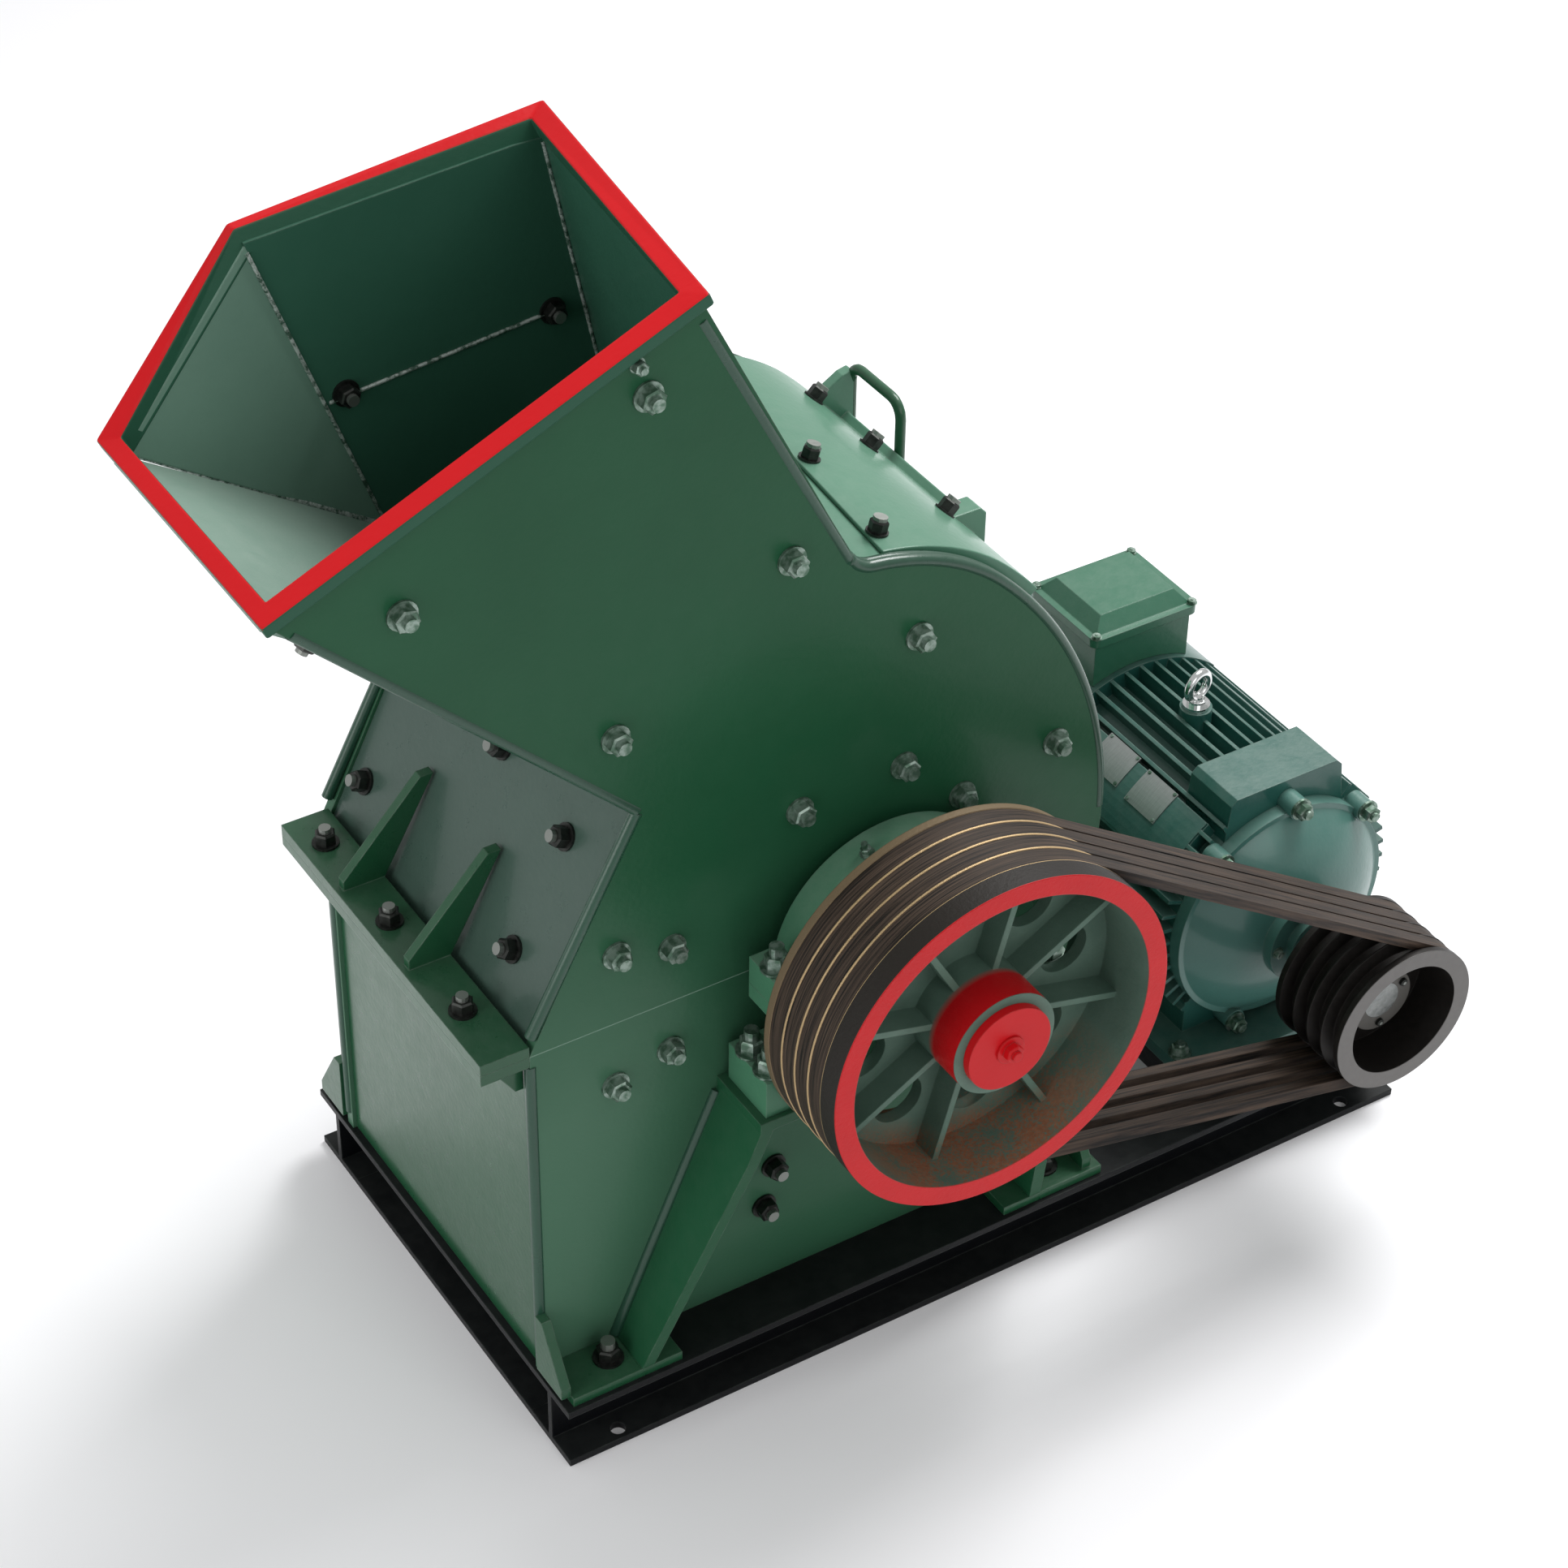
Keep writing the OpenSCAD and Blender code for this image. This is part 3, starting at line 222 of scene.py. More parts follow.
for body, height in ((head, g["Washer Thickness"]), (crown, crown_z.outputs[0]), (bright, stud_z.outputs[0])):
    lift = add(bolts, "ShaderNodeCombineXYZ", {"Z": height})
    raised = add(bolts, "GeometryNodeTransform", {"Geometry": body.outputs[0], "Translation": lift.outputs[0]})
    stack.append(raised.outputs[0])
whole = add(bolts, "GeometryNodeJoinGeometry")
for part in stack:
    bolts.links.new(part, whole.inputs[0])
facing = add(bolts, "GeometryNodeInputNamedAttribute", {"Name": "facing"}, data_type="FLOAT_VECTOR")
turn = add(bolts, "FunctionNodeAlignRotationToVector", {"Vector": facing.outputs[0]}, axis="Z")
each = add(bolts, "GeometryNodeInstanceOnPoints", {"Points": g["Geometry"], "Instance": whole.outputs[0],
                                                   "Rotation": turn.outputs[0]})
spin = add(bolts, "FunctionNodeRandomValue", {2: 0.0, 3: full_turn, "Seed": g["Seed"]}, data_type="FLOAT")
spin_z = add(bolts, "ShaderNodeCombineXYZ", {"Z": spin.outputs[1]})
turned = add(bolts, "GeometryNodeRotateInstances", {"Instances": each.outputs[0], "Rotation": spin_z.outputs[0],
                                                    "Local Space": True})
real = add(bolts, "GeometryNodeRealizeInstances", {"Geometry": turned.outputs[0]})
dressed = add(bolts, "GeometryNodeSetMaterial", {"Geometry": real.outputs[0], "Material": g["Material"]})
add(bolts, "NodeGroupOutput", {"Geometry": dressed.outputs[0]})


def placed(name, data):
    """A new object in the scene."""
    made = bpy.data.objects.new(name, data)
    bpy.context.scene.collection.objects.link(made)
    return made


def grow(name, mesh, tree, body, slot, **sizes):
    """Runs a tree over a mesh of points or paths and keeps the result as a plain piece on a body."""
    seed = placed(name + "_seed", mesh)
    work = seed.modifiers.new("grow", "NODES")
    work.node_group = tree
    for item in tree.interface.items_tree:
        if item.in_out == "INPUT" and item.name.replace(" ", "_") in sizes:
            work[item.identifier] = sizes[item.name.replace(" ", "_")]
    made = bpy.data.meshes.new_from_object(seed.evaluated_get(bpy.context.evaluated_depsgraph_get()))
    made.name = name
    bpy.data.objects.remove(seed)
    piece = placed(name, made)
    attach(piece, body)


def spots(places):
    """A mesh of loose points with the direction that each bolt faces."""
    mesh = bpy.data.meshes.new("points")
    mesh.from_pydata([p for p, _ in places], [], [])
    out = mesh.attributes.new("facing", "FLOAT_VECTOR", "POINT")
    for i, (_, normal) in enumerate(places):
        out.data[i].vector = normal
    return mesh


def weather(tree, shader, tone_at, dark, pale, dull_at, gloss, matt):
    """Mixes two hex tones by one texture and two roughnesses by another; returns the socket of the mixed tone."""
    tone = add(tree, "ShaderNodeMix", {"Factor": tone_at, 6: linear(dark), 7: linear(pale)}, data_type="RGBA")
    tree.links.new(tone.outputs[2], shader.inputs["Base Color"])
    dull = add(tree, "ShaderNodeMapRange", {"Value": dull_at, "To Min": gloss, "To Max": matt})
    tree.links.new(dull.outputs[0], shader.inputs["Roughness"])
    return tone.outputs[2]


# Blackened steel: dark oiled hex heads, with the cut end of each stud left bright.
black_steel, tree, shader, place = finish_of("blackened_steel_bolts", Metallic=0.85)
grit = add(tree, "ShaderNodeTexNoise", {"Vector": place, "Scale": 1000 / 6, "Detail": 4.0})
tone = weather(tree, shader, grit.outputs["Fac"], "#1b1d1c", "#4a4c49", grit.outputs["Fac"], 0.28, 0.55)
tip = add(tree, "ShaderNodeAttribute", attribute_name="tip")
shown = add(tree, "ShaderNodeMix", {"Factor": tip.outputs["Fac"], 6: tone, 7: linear("#8d918c")}, data_type="RGBA")
tree.links.new(shown.outputs[2], shader.inputs["Base Color"])

foot_bolts = [onto(node, at(x, y, 300), down)
              for node, y in (("feet_near", -27), ("feet_far", case_w + 27)) for x in (70, 664)]
grow("foot_bolts", spots(foot_bolts), bolts, "frame", "base_black", Head_Radius=0.014, Head_Height=0.013,
     Washer_Radius=0.018, Stud_Radius=0.0085, Stud_Length=0.010, Material=black_steel)

# Upper casing: the side plates, breast plate, top deck, curved rotor cover and its bolted lid.
# The plates meet in fillet welds laid by hand, so a rippled bead runs along every outer edge.
# Zinc-plated bolts hold liners through the side plates; the lid and the flange have blackened ones.
coat(green_enamel, "split_flange_upper", "top_deck")
# The breast plate's enamel is painted greyer: a painted reflection of the pale surroundings on this left-facing plate.
breast_enamel = sprayed_paint("greyed_enamel_on_breast", "#384d45", "#435a50", 0.30, 7, 0.08, 0.30, 0.22)
coat(breast_enamel, "breast_plate")
coat(side_enamel, "upper_plate_near", "upper_plate_far")
# The cover and its lid are the same enamel painted paler all over, as painted light where they face up to the lamps,
# and dusty where they face up.
paler_cover_enamel = sprayed_paint("faded_green_enamel", "#477560", "#588870", 0.34, 8, 0.16, 0.30, 0.15)
coat(paler_cover_enamel, "rotor_cover")

# A run along a path: a round section swept along edges, with the ripple that a hand-laid weld shows.
runs, given = group_of("run_along_path", [
    ("Radius", "Float", 0.004), ("Ripple Pitch", "Float", 0.006), ("Ripple Depth", "Float", 0.18),
    ("Step", "Float", 0.002), ("Sides", "Int", 7), ("Seed", "Int", 2), ("Material", "Material", None)])
g = given.outputs
line = add(runs, "GeometryNodeMeshToCurve", {"Mesh": g["Geometry"]})
even = add(runs, "GeometryNodeResampleCurve", {"Curve": line.outputs[0], "Length": g["Step"]}, mode="LENGTH")
along = add(runs, "GeometryNodeSplineParameter")
turns = add(runs, "ShaderNodeMath", {0: along.outputs["Length"], 1: g["Ripple Pitch"]}, operation="DIVIDE")
angle = add(runs, "ShaderNodeMath", {0: turns.outputs[0], 1: 2 * math.pi}, operation="MULTIPLY")
wave = add(runs, "ShaderNodeMath", {0: angle.outputs[0]}, operation="SINE")
jitter = add(runs, "FunctionNodeRandomValue", {2: -0.6, 3: 0.6, "Seed": g["Seed"]}, data_type="FLOAT")
rough_wave = add(runs, "ShaderNodeMath", {0: wave.outputs[0], 1: jitter.outputs[1]}, operation="ADD")
swell = add(runs, "ShaderNodeMath", {0: rough_wave.outputs[0], 1: g["Ripple Depth"], 2: 1.0}, operation="MULTIPLY_ADD")
thick = add(runs, "GeometryNodeSetCurveRadius", {"Curve": even.outputs[0], "Radius": swell.outputs[0]})
section = add(runs, "GeometryNodeCurvePrimitiveCircle", {"Resolution": g["Sides"], "Radius": g["Radius"]},
              mode="RADIUS")
swept = add(runs, "GeometryNodeCurveToMesh", {"Curve": thick.outputs[0], "Profile Curve": section.outputs[0],
                                              "Fill Caps": True})
soft = add(runs, "GeometryNodeSetShadeSmooth", {"Geometry": swept.outputs[0]})
real = add(runs, "GeometryNodeRealizeInstances", {"Geometry": soft.outputs[0]})
dressed = add(runs, "GeometryNodeSetMaterial", {"Geometry": real.outputs[0], "Material": g["Material"]})
add(runs, "NodeGroupOutput", {"Geometry": dressed.outputs[0]})


def lines(routes):
    """A mesh of open or closed paths: each route is a list of points, closed where its last repeats its first."""
    mesh = bpy.data.meshes.new("paths")
    points, edges = [], []
    for route in routes:
        shut = (route[0] - route[-1]).length < 1e-6
        ring = route[:-1] if shut else route
        first = len(points)
        points += ring
        edges += [(first + i, first + i + 1) for i in range(len(ring) - 1)]
        if shut:
            edges.append((first + len(ring) - 1, first))
    mesh.from_pydata(points, edges, [])
    return mesh


def bow(x, z, r, a0, a1, y, steps=24):
    """Points on an arc about (x, z), in mm and degrees, on the plane at y."""
    turn = [math.radians(a0 + (a1 - a0) * i / steps) for i in range(steps + 1)]
    return [at(x + r * math.cos(a), y, z + r * math.sin(a)) for a in turn]


# Corners and arcs of the side plates' outline, in mm, and how deep the middle of a bead lies under it.
lip, knee, brow = (-246, 1204), (133, 832), (213, 1405)
arc_c, arc_r, blend_c, blend_r, blend_a, notch_r = (228, 601), 502, (382.2, 760.7), 280, 46, 34
sink = 3
edge_runs = []
for near, y, face, inset in ((True, 5, -1, 0.006), (False, case_w - 5, case_w + 1, -0.006)):
    front = [at(4, y, 586), at(knee[0] + 2, y, knee[1] + 1)]
    belly = [at(knee[0] + 2, y, knee[1] + 4), at(lip[0] + 20, y, lip[1] - 14)]
    rear = [at(brow[0] - 2, y, brow[1] - 18), at(384, y, 1054)] + bow(418.2, 1072.6, notch_r + sink, 207, 263, y, 6)
    rear += bow(*blend_c, blend_r - sink, 83, blend_a, y) + bow(*arc_c, arc_r - sink, blend_a, 0, y)
    upright = [at(sink, y, 108), at(sink, y, 548)]
    cover = rear if near else rear[2:]
    edge_runs += [front, belly, cover, upright] if near else [front, cover, upright]
    # The pedestals' struts are welded to the sides.
    edge_runs += [[at(227, face, 412), at(93, face, 102)], [at(645, face, 412), at(638, face, 102)]]
    # A second pass lies inside the first, where the cover meets the plate.
    edge_runs.append([p + Vector((0, inset, 0)) for p in cover])
# Painted weld: the same enamel, glossier on the ripples and paler where dust catches.
bead_enamel = sprayed_paint("enamel_over_weld", "#173a2b", "#2b5341", 0.30, 5, 0.10, 0.0, 0.25)
grow("edge_welds", lines(edge_runs), runs, "frame", "casing_green", Radius=0.0068, Ripple_Pitch=0.0075,
     Ripple_Depth=0.2, Step=0.0019, Sides=9, Material=bead_enamel)

# Zinc plate with green overspray: pale grey heads with a greenish cast in the corners.
zinc, tree, shader, place = finish_of("zinc_plated_steel", Metallic=0.75)
grit = add(tree, "ShaderNodeTexNoise", {"Vector": place, "Scale": 1000 / 9, "Detail": 5.0})
over = add(tree, "ShaderNodeMapRange", {"Value": grit.outputs["Fac"], "From Min": 0.40, "From Max": 0.60})
weather(tree, shader, over.outputs[0], "#8fa096", "#55705f", grit.outputs["Fac"], 0.26, 0.5)

upper_liner = [(151, 1326), (-115, 1173), (313, 1082), (471, 931), (109, 940), (458, 767), (658, 720),
               (328, 759), (536, 696), (172, 640), (105, 659)]
lower_liner, lower_dark = [(169, 498), (101, 478)], [(302, 259), (290, 202)]
# The far plate ends below the hopper, so only the lower bolts go through it.
far_top = 935


def on_side(plate, x, z):
    """A spot on the outer face of a near or far plate, at x and z in mm."""
    start, way = (case_w + 80, -1) if plate.endswith("far") else (-80, 1)
    return onto(plate, at(x, start, z), (0, way, 0))


liner_bolts = [on_side("upper_plate_near", x, z) for x, z in upper_liner]
liner_bolts += [on_side("lower_plate_near", x, z) for x, z in lower_liner]
liner_bolts += [on_side("upper_plate_far", x, z) for x, z in upper_liner if z < far_top]
liner_bolts += [on_side("lower_plate_far", x, z) for x, z in lower_liner]
grow("liner_bolts", spots(liner_bolts), bolts, "frame", "bright_steel", Head_Radius=0.0135, Head_Height=0.011,
     Washer_Radius=0.0165, Stud_Radius=0.0075, Stud_Length=0.006, Material=zinc)

pin = [on_side("upper_plate_near", 140, 1363)]
grow("rim_pin", spots(pin), bolts, "frame", "bright_steel", Head_Radius=0.0075, Head_Height=0.009, Washer_Radius=0.0085,
     Washer_Thickness=0.0015, Stud_Radius=0.004, Stud_Length=0.003, Material=zinc)

dark_bolts = [on_side(plate, x, z) for plate in ("lower_plate_near", "lower_plate_far") for x, z in lower_dark]
dark_bolts += [onto("split_flange_upper", at(x, y, 900), down) for x, y in ((-30, 411), (-31, 255), (-32, 86))]
breast = Vector((-0.896, 0, 0.4445))
breast_bolts = (34, 435, 623), (100, 91, 755), (36, 96, 626), (100, 395, 755), (108, 240, 772)
dark_bolts += [onto("breast_plate", at(x, y, z) + breast * 0.1, -breast) for x, y, z in breast_bolts]
grow("casing_bolts", spots(dark_bolts), bolts, "frame", "base_black", Head_Radius=0.0125, Head_Height=0.012,
     Washer_Radius=0.0155, Stud_Radius=0.007, Stud_Length=0.006, Material=black_steel)


def arc_dir(a):
    """The direction at an angle in degrees, in the plane of the side plates."""
    return Vector((math.cos(math.radians(a)), 0, math.sin(math.radians(a))))


def on_cover(a, y, lift):
    """A point of the cover's outer curve at an angle in degrees, raised off it, in mm."""
    (x, z), r = (blend_c, blend_r) if a >= blend_a else (arc_c, arc_r)
    return at(x, y, z) + arc_dir(a) * (r - sink + lift) / 1000


def loft(work, rings):
    """A closed skin over rings of equal length, with its two ends filled."""
    made = [[work.verts.new(p) for p in ring] for ring in rings]
    for one, two in zip(made, made[1:]):
        for i in range(len(one)):
            j = (i + 1) % len(one)
            work.faces.new((one[i], one[j], two[j], two[i]))
    work.faces.new(made[0])
    work.faces.new(made[-1])


# The lid is a thin plate, packed up at its lower end, where a lip and two welded brackets stand.
lid_foot, lid_thin, lid_packed, lid_steps = 38, 5, 18, 28
lid_near, lid_width, lid_cols = 19, 442, 8
lid_ys = [lid_near + lid_width * j / lid_cols for j in range(lid_cols + 1)]


def lid_top(y):
    """The angle of the lid's upper edge, which runs askew across the cover."""
    return 79.5 - 9.5 * y / case_w


def lid_lift(part):
    """How far the lid's face stands off the cover, from its upper edge at 0 to its lower one at 1."""
    return lid_thin + (lid_packed - lid_thin) * part


work = bmesh.new()
skins = []
for i in range(lid_steps + 1):
    part = i / lid_steps
    angles = [lid_top(y) + (lid_foot - lid_top(y)) * part for y in lid_ys]
    upper = [on_cover(t, y, lid_lift(part)) for t, y in zip(angles, lid_ys)]
    skins.append(upper + [on_cover(t, y, 0.2) for t, y in zip(angles, lid_ys)][::-1])
loft(work, skins)
lid_lip = (38.6, 1), (38.4, 29), (37.5, 29), (37.5, 1)
loft(work, [[on_cover(t, y, lift) for t, lift in lid_lip] for y in (150, 410)])
lug = [(604, 950), (642, 950), (650, 942), (650, 888), (604, 938)]
gusset = [(608, 962), (634, 978), (647, 981), (652, 975), (652, 888), (608, 940)]
for outline, y0, y1 in ((lug, 138, 166), (gusset, 402, 416)):
    loft(work, [[at(x, y, z) for x, z in outline] for y in (y0, y1)])
bmesh.ops.recalc_face_normals(work, faces=work.faces)
crease_angle = 0.6
sharp = [edge for edge in work.edges if edge.calc_face_angle(0) > crease_angle]
bmesh.ops.bevel(work, geom=sharp, offset=0.0014, segments=2, profile=0.5, affect="EDGES")
mesh = bpy.data.meshes.new("lid_plate")
work.to_mesh(mesh)
work.free()
mesh.materials.append(paler_cover_enamel)
lid_plate = placed("lid_plate", mesh)
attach(lid_plate, "frame")
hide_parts("cover_lid")
# The handle is a bent round bar that stands on the lip.
grip_x, grip_near, grip_far, grip_foot, bend_z, bend_r = 650, 308, 408, 890, 966, 20
bend = [(grip_near + bend_r - bend_r * math.cos(t), bend_z + bend_r * math.sin(t))
        for t in (0, 0.4, 0.8, 1.2, math.pi / 2)]
grip = [(grip_near, grip_foot)] + bend + [(grip_near + grip_far - y, z) for y, z in bend[::-1]]
grip.append((grip_far, grip_foot))
grow("lid_handle", lines([[at(grip_x, y, z) for y, z in grip]]), runs, "frame", "casing_green", Radius=0.0062,
     Ripple_Depth=0.0, Step=0.003, Sides=16, Material=green_enamel)
lid_rows = [(54, 76, 0.09), (212, 72.2, 0.09), (440, 67.5, 0.09), (135, 45, 0.81), (283, 45, 0.8), (396, 45, 0.79)]
lid_bolts = [(on_cover(a, y, lid_lift(part)), arc_dir(a)) for y, a, part in lid_rows]
grow("lid_bolts", spots(lid_bolts), bolts, "frame", "base_black", Head_Radius=0.0105, Head_Height=0.011,
     Washer_Radius=0.0125, Washer_Thickness=0.002, Stud_Radius=0.008, Stud_Length=0.004, Material=black_steel)

# Feed hopper: a sloping floor, a far wall, a corner plate, a back plate and a flat-bar rim round the mouth.
# Plate, welded along the inner creases, enamelled green; only the rim's top face is brushed red.
# The floor and the corner plate are a little dull and painted pale, the floor most, as painted light where they face
# the lamps, with more dust on the floor; the two other walls keep their darker enamel.
for name, deep, pale, rough, dust, nodes in (
        ("stone_rubbed_enamel", "#708e80", "#8fa89b", 0.42, 0.35, ["hopper_floor"]),
        ("half_rubbed_enamel", "#5f8172", "#759585", 0.42, 0.15, ["hopper_corner"]),
        ("hopper_wall_enamel", "#2b5544", "#386553", 0.40, 0.08, ["hopper_far", "hopper_back"])):
    coat(sprayed_paint(name, deep, pale, rough, 7, dust, 0.30, 0.1), *nodes)
lip_far, crease, peak, wall_y = (-246, 352, 1204), (54, 378, 992), (-80, 378, 1369), 377
seams = [[at(*lip_far) + Vector((0.012, -0.004, -0.006)), at(*crease)],
         [at(peak[0] + 3, wall_y, peak[2] - 12), at(*crease)],
         [at(251, wall_y, 1388), at(321, wall_y, 1060)], [at(-2, wall_y, 1162), at(268, wall_y, 1192)]]
# Bare weld: grey-white scale and spatter left unpainted inside the mouth.
bare_weld, tree, shader, place = finish_of("bare_weld_metal", Metallic=0.3)
scale = add(tree, "ShaderNodeTexNoise", {"Vector": place, "Scale": 1000 / 7, "Detail": 6.0, "Roughness": 0.7})
patch = add(tree, "ShaderNodeMapRange", {"Value": scale.outputs["Fac"], "From Min": 0.42, "From Max": 0.58})
weather(tree, shader, patch.outputs[0], "#b9c2bd", "#3c594a", scale.outputs["Fac"], 0.35, 0.7)
grow("floor_weld", lines(seams[:1]), runs, "frame", "casing_green", Radius=0.0042, Ripple_Pitch=0.009,
     Ripple_Depth=0.3, Step=0.0025, Material=bare_weld)
grow("wall_welds", lines(seams[1:]), runs, "frame", "casing_green", Radius=0.0022, Ripple_Pitch=0.007,
     Ripple_Depth=0.25, Step=0.002, Material=bare_weld)
wall_bolts = [onto("hopper_far", at(x, 200, z), (0, 1, 0)) for x, z in ((17, 1168), (256, 1191))]
wall_bolts.append(onto("hopper_floor", at(-190, 40, 1000), (0, 0, 1)))
grow("hopper_bolts", spots(wall_bolts), bolts, "frame", "base_black", Head_Radius=0.012, Head_Height=0.010,
     Washer_Radius=0.015, Stud_Radius=0.0065, Stud_Length=0.005, Material=black_steel)
# Red paint: brushed on, even and bright, with little shine.
reds = "#b90f16", "#d0161d"
red_paint = sprayed_paint("red_paint", *reds, 0.36, 8, 0.0, 0.10, 0.03)

# Red over green: the bar was painted red on top after the enamel, so its edges stay green.
rim_paint = sprayed_paint("red_over_green_enamel", *reds, 0.36, 8, 0.0, 0.10, 0.03)
tree, red, goal = colour_of(rim_paint)
side = add(tree, "ShaderNodeNewGeometry")
tilt = math.atan2(brow[1] - lip[1], brow[0] - lip[0])
slope_way, lift_way = Vector((math.cos(tilt), 0, math.sin(tilt))), Vector((-math.sin(tilt), 0, math.cos(tilt)))
lean = add(tree, "ShaderNodeVectorMath", {0: side.outputs["True Normal"], 1: lift_way}, operation="DOT_PRODUCT")
top = add(tree, "ShaderNodeMapRange", {"Value": lean.outputs["Value"], "From Min": 0.55, "From Max": 0.75})
both = add(tree, "ShaderNodeMix", {"Factor": top.outputs[0], 6: linear("#2b5643"), 7: red}, data_type="RGBA")
tree.links.new(both.outputs[2], goal)
coat(rim_paint, "hopper_rim")

# The rim's bars: each side has its own width.
# The far one is only as wide as the plate, with its inner edge dressed back to the wall.
mouth_far = 392
mouth = [at(lip[0], 0, lip[1]), at(brow[0], 0, brow[1]), at(brow[0] + 49, mouth_far, brow[1]),
         at(peak[0], mouth_far, peak[2]), at(*lip_far)]
in_plane = [Vector(((p - mouth[0]).dot(slope_way), p.y - mouth[0].y)) for p in mouth]
along_side = [in_plane[(i + 1) % 5] - in_plane[i] for i in range(5)]
outward = [Vector((way.y, -way.x)).normalized() for way in along_side]


def rim_ring(*steps):
    """Corners of the rim: each is stepped outward from two sides and raised off the mouth, in mm."""
    ring = []
    for i, (before, after, raised) in enumerate(steps):
        m, n, a, b = outward[i - 1], outward[i], before / 1000, after / 1000
        spot = in_plane[i] + Vector((a * n.y - b * m.y, b * m.x - a * n.x)) / (m.x * n.y - m.y * n.x)
        above = (mouth[i] - mouth[0]).dot(lift_way) + raised / 1000
        ring.append(mouth[0] + slope_way * spot.x + Vector((0, spot.y, 0)) + lift_way * above)
    return ring


corners = rim_ring(*[(8, 8, 0)] * 5) + rim_ring(*[(8, 8, 14)] * 5)
corners += rim_ring((-12, -20, 14), (-20, -14, 14), (-14, -6, 14), (-6, -6, 14), (-15, -12, 14))
corners += rim_ring((-12, -20, 0), (-20, -14, 0), (-14.5, -14.5, -16), (-14.5, -14.5, -16), (-15, -12, -12))
bands = [(5 * k, 5 * ((k + 1) % 4)) for k in range(4)]
sides = [(one + i, one + (i + 1) % 5, two + (i + 1) % 5, two + i) for one, two in bands for i in range(5)]
mesh = bpy.data.meshes.new("rim_bars")
mesh.from_pydata(corners, [], sides)
work = bmesh.new()
work.from_mesh(mesh)
bmesh.ops.recalc_face_normals(work, faces=work.faces)
bmesh.ops.bevel(work, geom=list(work.edges), offset=0.0018, segments=2, profile=0.5, affect="EDGES")
work.to_mesh(mesh)
work.free()
mesh.materials.append(rim_paint)
rim_bars = placed("rim_bars", mesh)
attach(rim_bars, "frame")
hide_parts("hopper_rim")

# Bearings: split plummer blocks, a base and a cap each, bolted to the pedestals.
# Cast iron with a sand-cast skin under satin green paint; the caps carry a grease nipple.
cast_green = sprayed_paint("green_paint_on_cast_iron", "#3a6d53", "#528769", 0.45, 4, 0.30, 0.30, 0.1)
coat(cast_green, "bearing_base_near", "bearing_base_far", "bearing_cap_near", "bearing_cap_far")
block_bolts = []
cap_reach = 163
for side, y0, s in (("near", 0, -1), ("far", case_w, 1)):
    for x in (rotor_x - cap_reach, rotor_x + cap_reach):
        block_bolts.append(onto("bearing_cap_" + side, at(x, y0 + s * 47, 900), down))
    for x in (252, 620):
        for y in (32, 68):
            block_bolts.append(onto("bearing_base_" + side, at(x, y0 + s * y, 535), down))
grow("bearing_bolts", spots(block_bolts), bolts, "frame", "bright_steel", Head_Radius=0.014, Head_Height=0.014,
     Washer_Radius=0.018, Stud_Radius=0.0085, Stud_Length=0.012, Material=zinc)
nipples = [onto("bearing_cap_near", at(391, -37, 900), down), onto("bearing_cap_far", at(391, case_w + 37, 900), down)]
grow("grease_nipples", spots(nipples), bolts, "frame", "bright_steel", Head_Radius=0.0065, Head_Height=0.007,
     Washer_Radius=0.0085, Washer_Thickness=0.0015, Stud_Radius=0.0038, Stud_Length=0.007, Material=zinc)

# Rotor: shaft, discs, hammers, the large pulley and its hub cap, all turning together.
# The pulley is cast iron, painted grey-green inside and red on the front ring and hub.
# The belts have polished the ridges between its grooves bare.
steel, tree, shader, place = finish_of("turned_steel", Metallic=1.0)
rings = add(tree, "ShaderNodeTexWave", {"Vector": place, "Scale": 1000 / 6, "Distortion": 1.5, "Detail": 2.0},
            bands_direction="Y")
weather(tree, shader, rings.outputs["Fac"], "#6f7271", "#9a9d9b", rings.outputs["Fac"], 0.25, 0.4)
coat(steel, "rotor_shaft", "rotor", "motor_shaft")

axis = at(rotor_x, 0, split_z)


def round_axis(tree, place, centre):
    """Coordinates measured from a centre, and the distance from the axis along Y through it."""
    centred = add(tree, "ShaderNodeMapping", {"Vector": place, "Location": [-c for c in centre]})
    xyz = add(tree, "ShaderNodeSeparateXYZ", {"Vector": centred.outputs[0]})
    flat = add(tree, "ShaderNodeCombineXYZ", {"X": xyz.outputs["X"], "Z": xyz.outputs["Z"]})
    return xyz, add(tree, "ShaderNodeVectorMath", {0: flat.outputs[0]}, operation="LENGTH").outputs["Value"]


pulley_paint, tree, shader, place = finish_of("painted_cast_iron_pulley", Specular_IOR_Level=0.2)
xyz, radius = round_axis(tree, place, axis)
sand = add(tree, "ShaderNodeTexNoise", {"Vector": place, "Scale": 1000 / 5, "Detail": 6.0, "Roughness": 0.65})
cloud = add(tree, "ShaderNodeTexNoise", {"Vector": place, "Scale": 1000 / 70, "Detail": 6.0, "Roughness": 0.7})
iron = add(tree, "ShaderNodeMix", {"Factor": cloud.outputs["Fac"], 6: linear("#465f53"), 7: linear("#6a8376")},
           data_type="RGBA")
low = add(tree, "ShaderNodeMapRange", {"Value": xyz.outputs["Z"], "From Min": -0.09, "From Max": -0.17})
rim_in = add(tree, "ShaderNodeMapRange", {"Value": radius, "From Min": 0.150, "From Max": 0.186})
rust_at = add(tree, "ShaderNodeMath", {0: low.outputs[0], 1: rim_in.outputs[0]}, operation="MULTIPLY")
grains = add(tree, "ShaderNodeTexNoise", {"Vector": place, "Scale": 1000 / 3.2, "Detail": 3.0, "Roughness": 0.8})
mottle = add(tree, "ShaderNodeMath", {0: cloud.outputs["Fac"], 1: grains.outputs["Fac"]}, operation="ADD")
patch = add(tree, "ShaderNodeMapRange", {"Value": mottle.outputs[0], "From Min": 0.92, "From Max": 1.08})
rust_mask = add(tree, "ShaderNodeMath", {0: rust_at.outputs[0], 1: patch.outputs[0]}, operation="MULTIPLY")
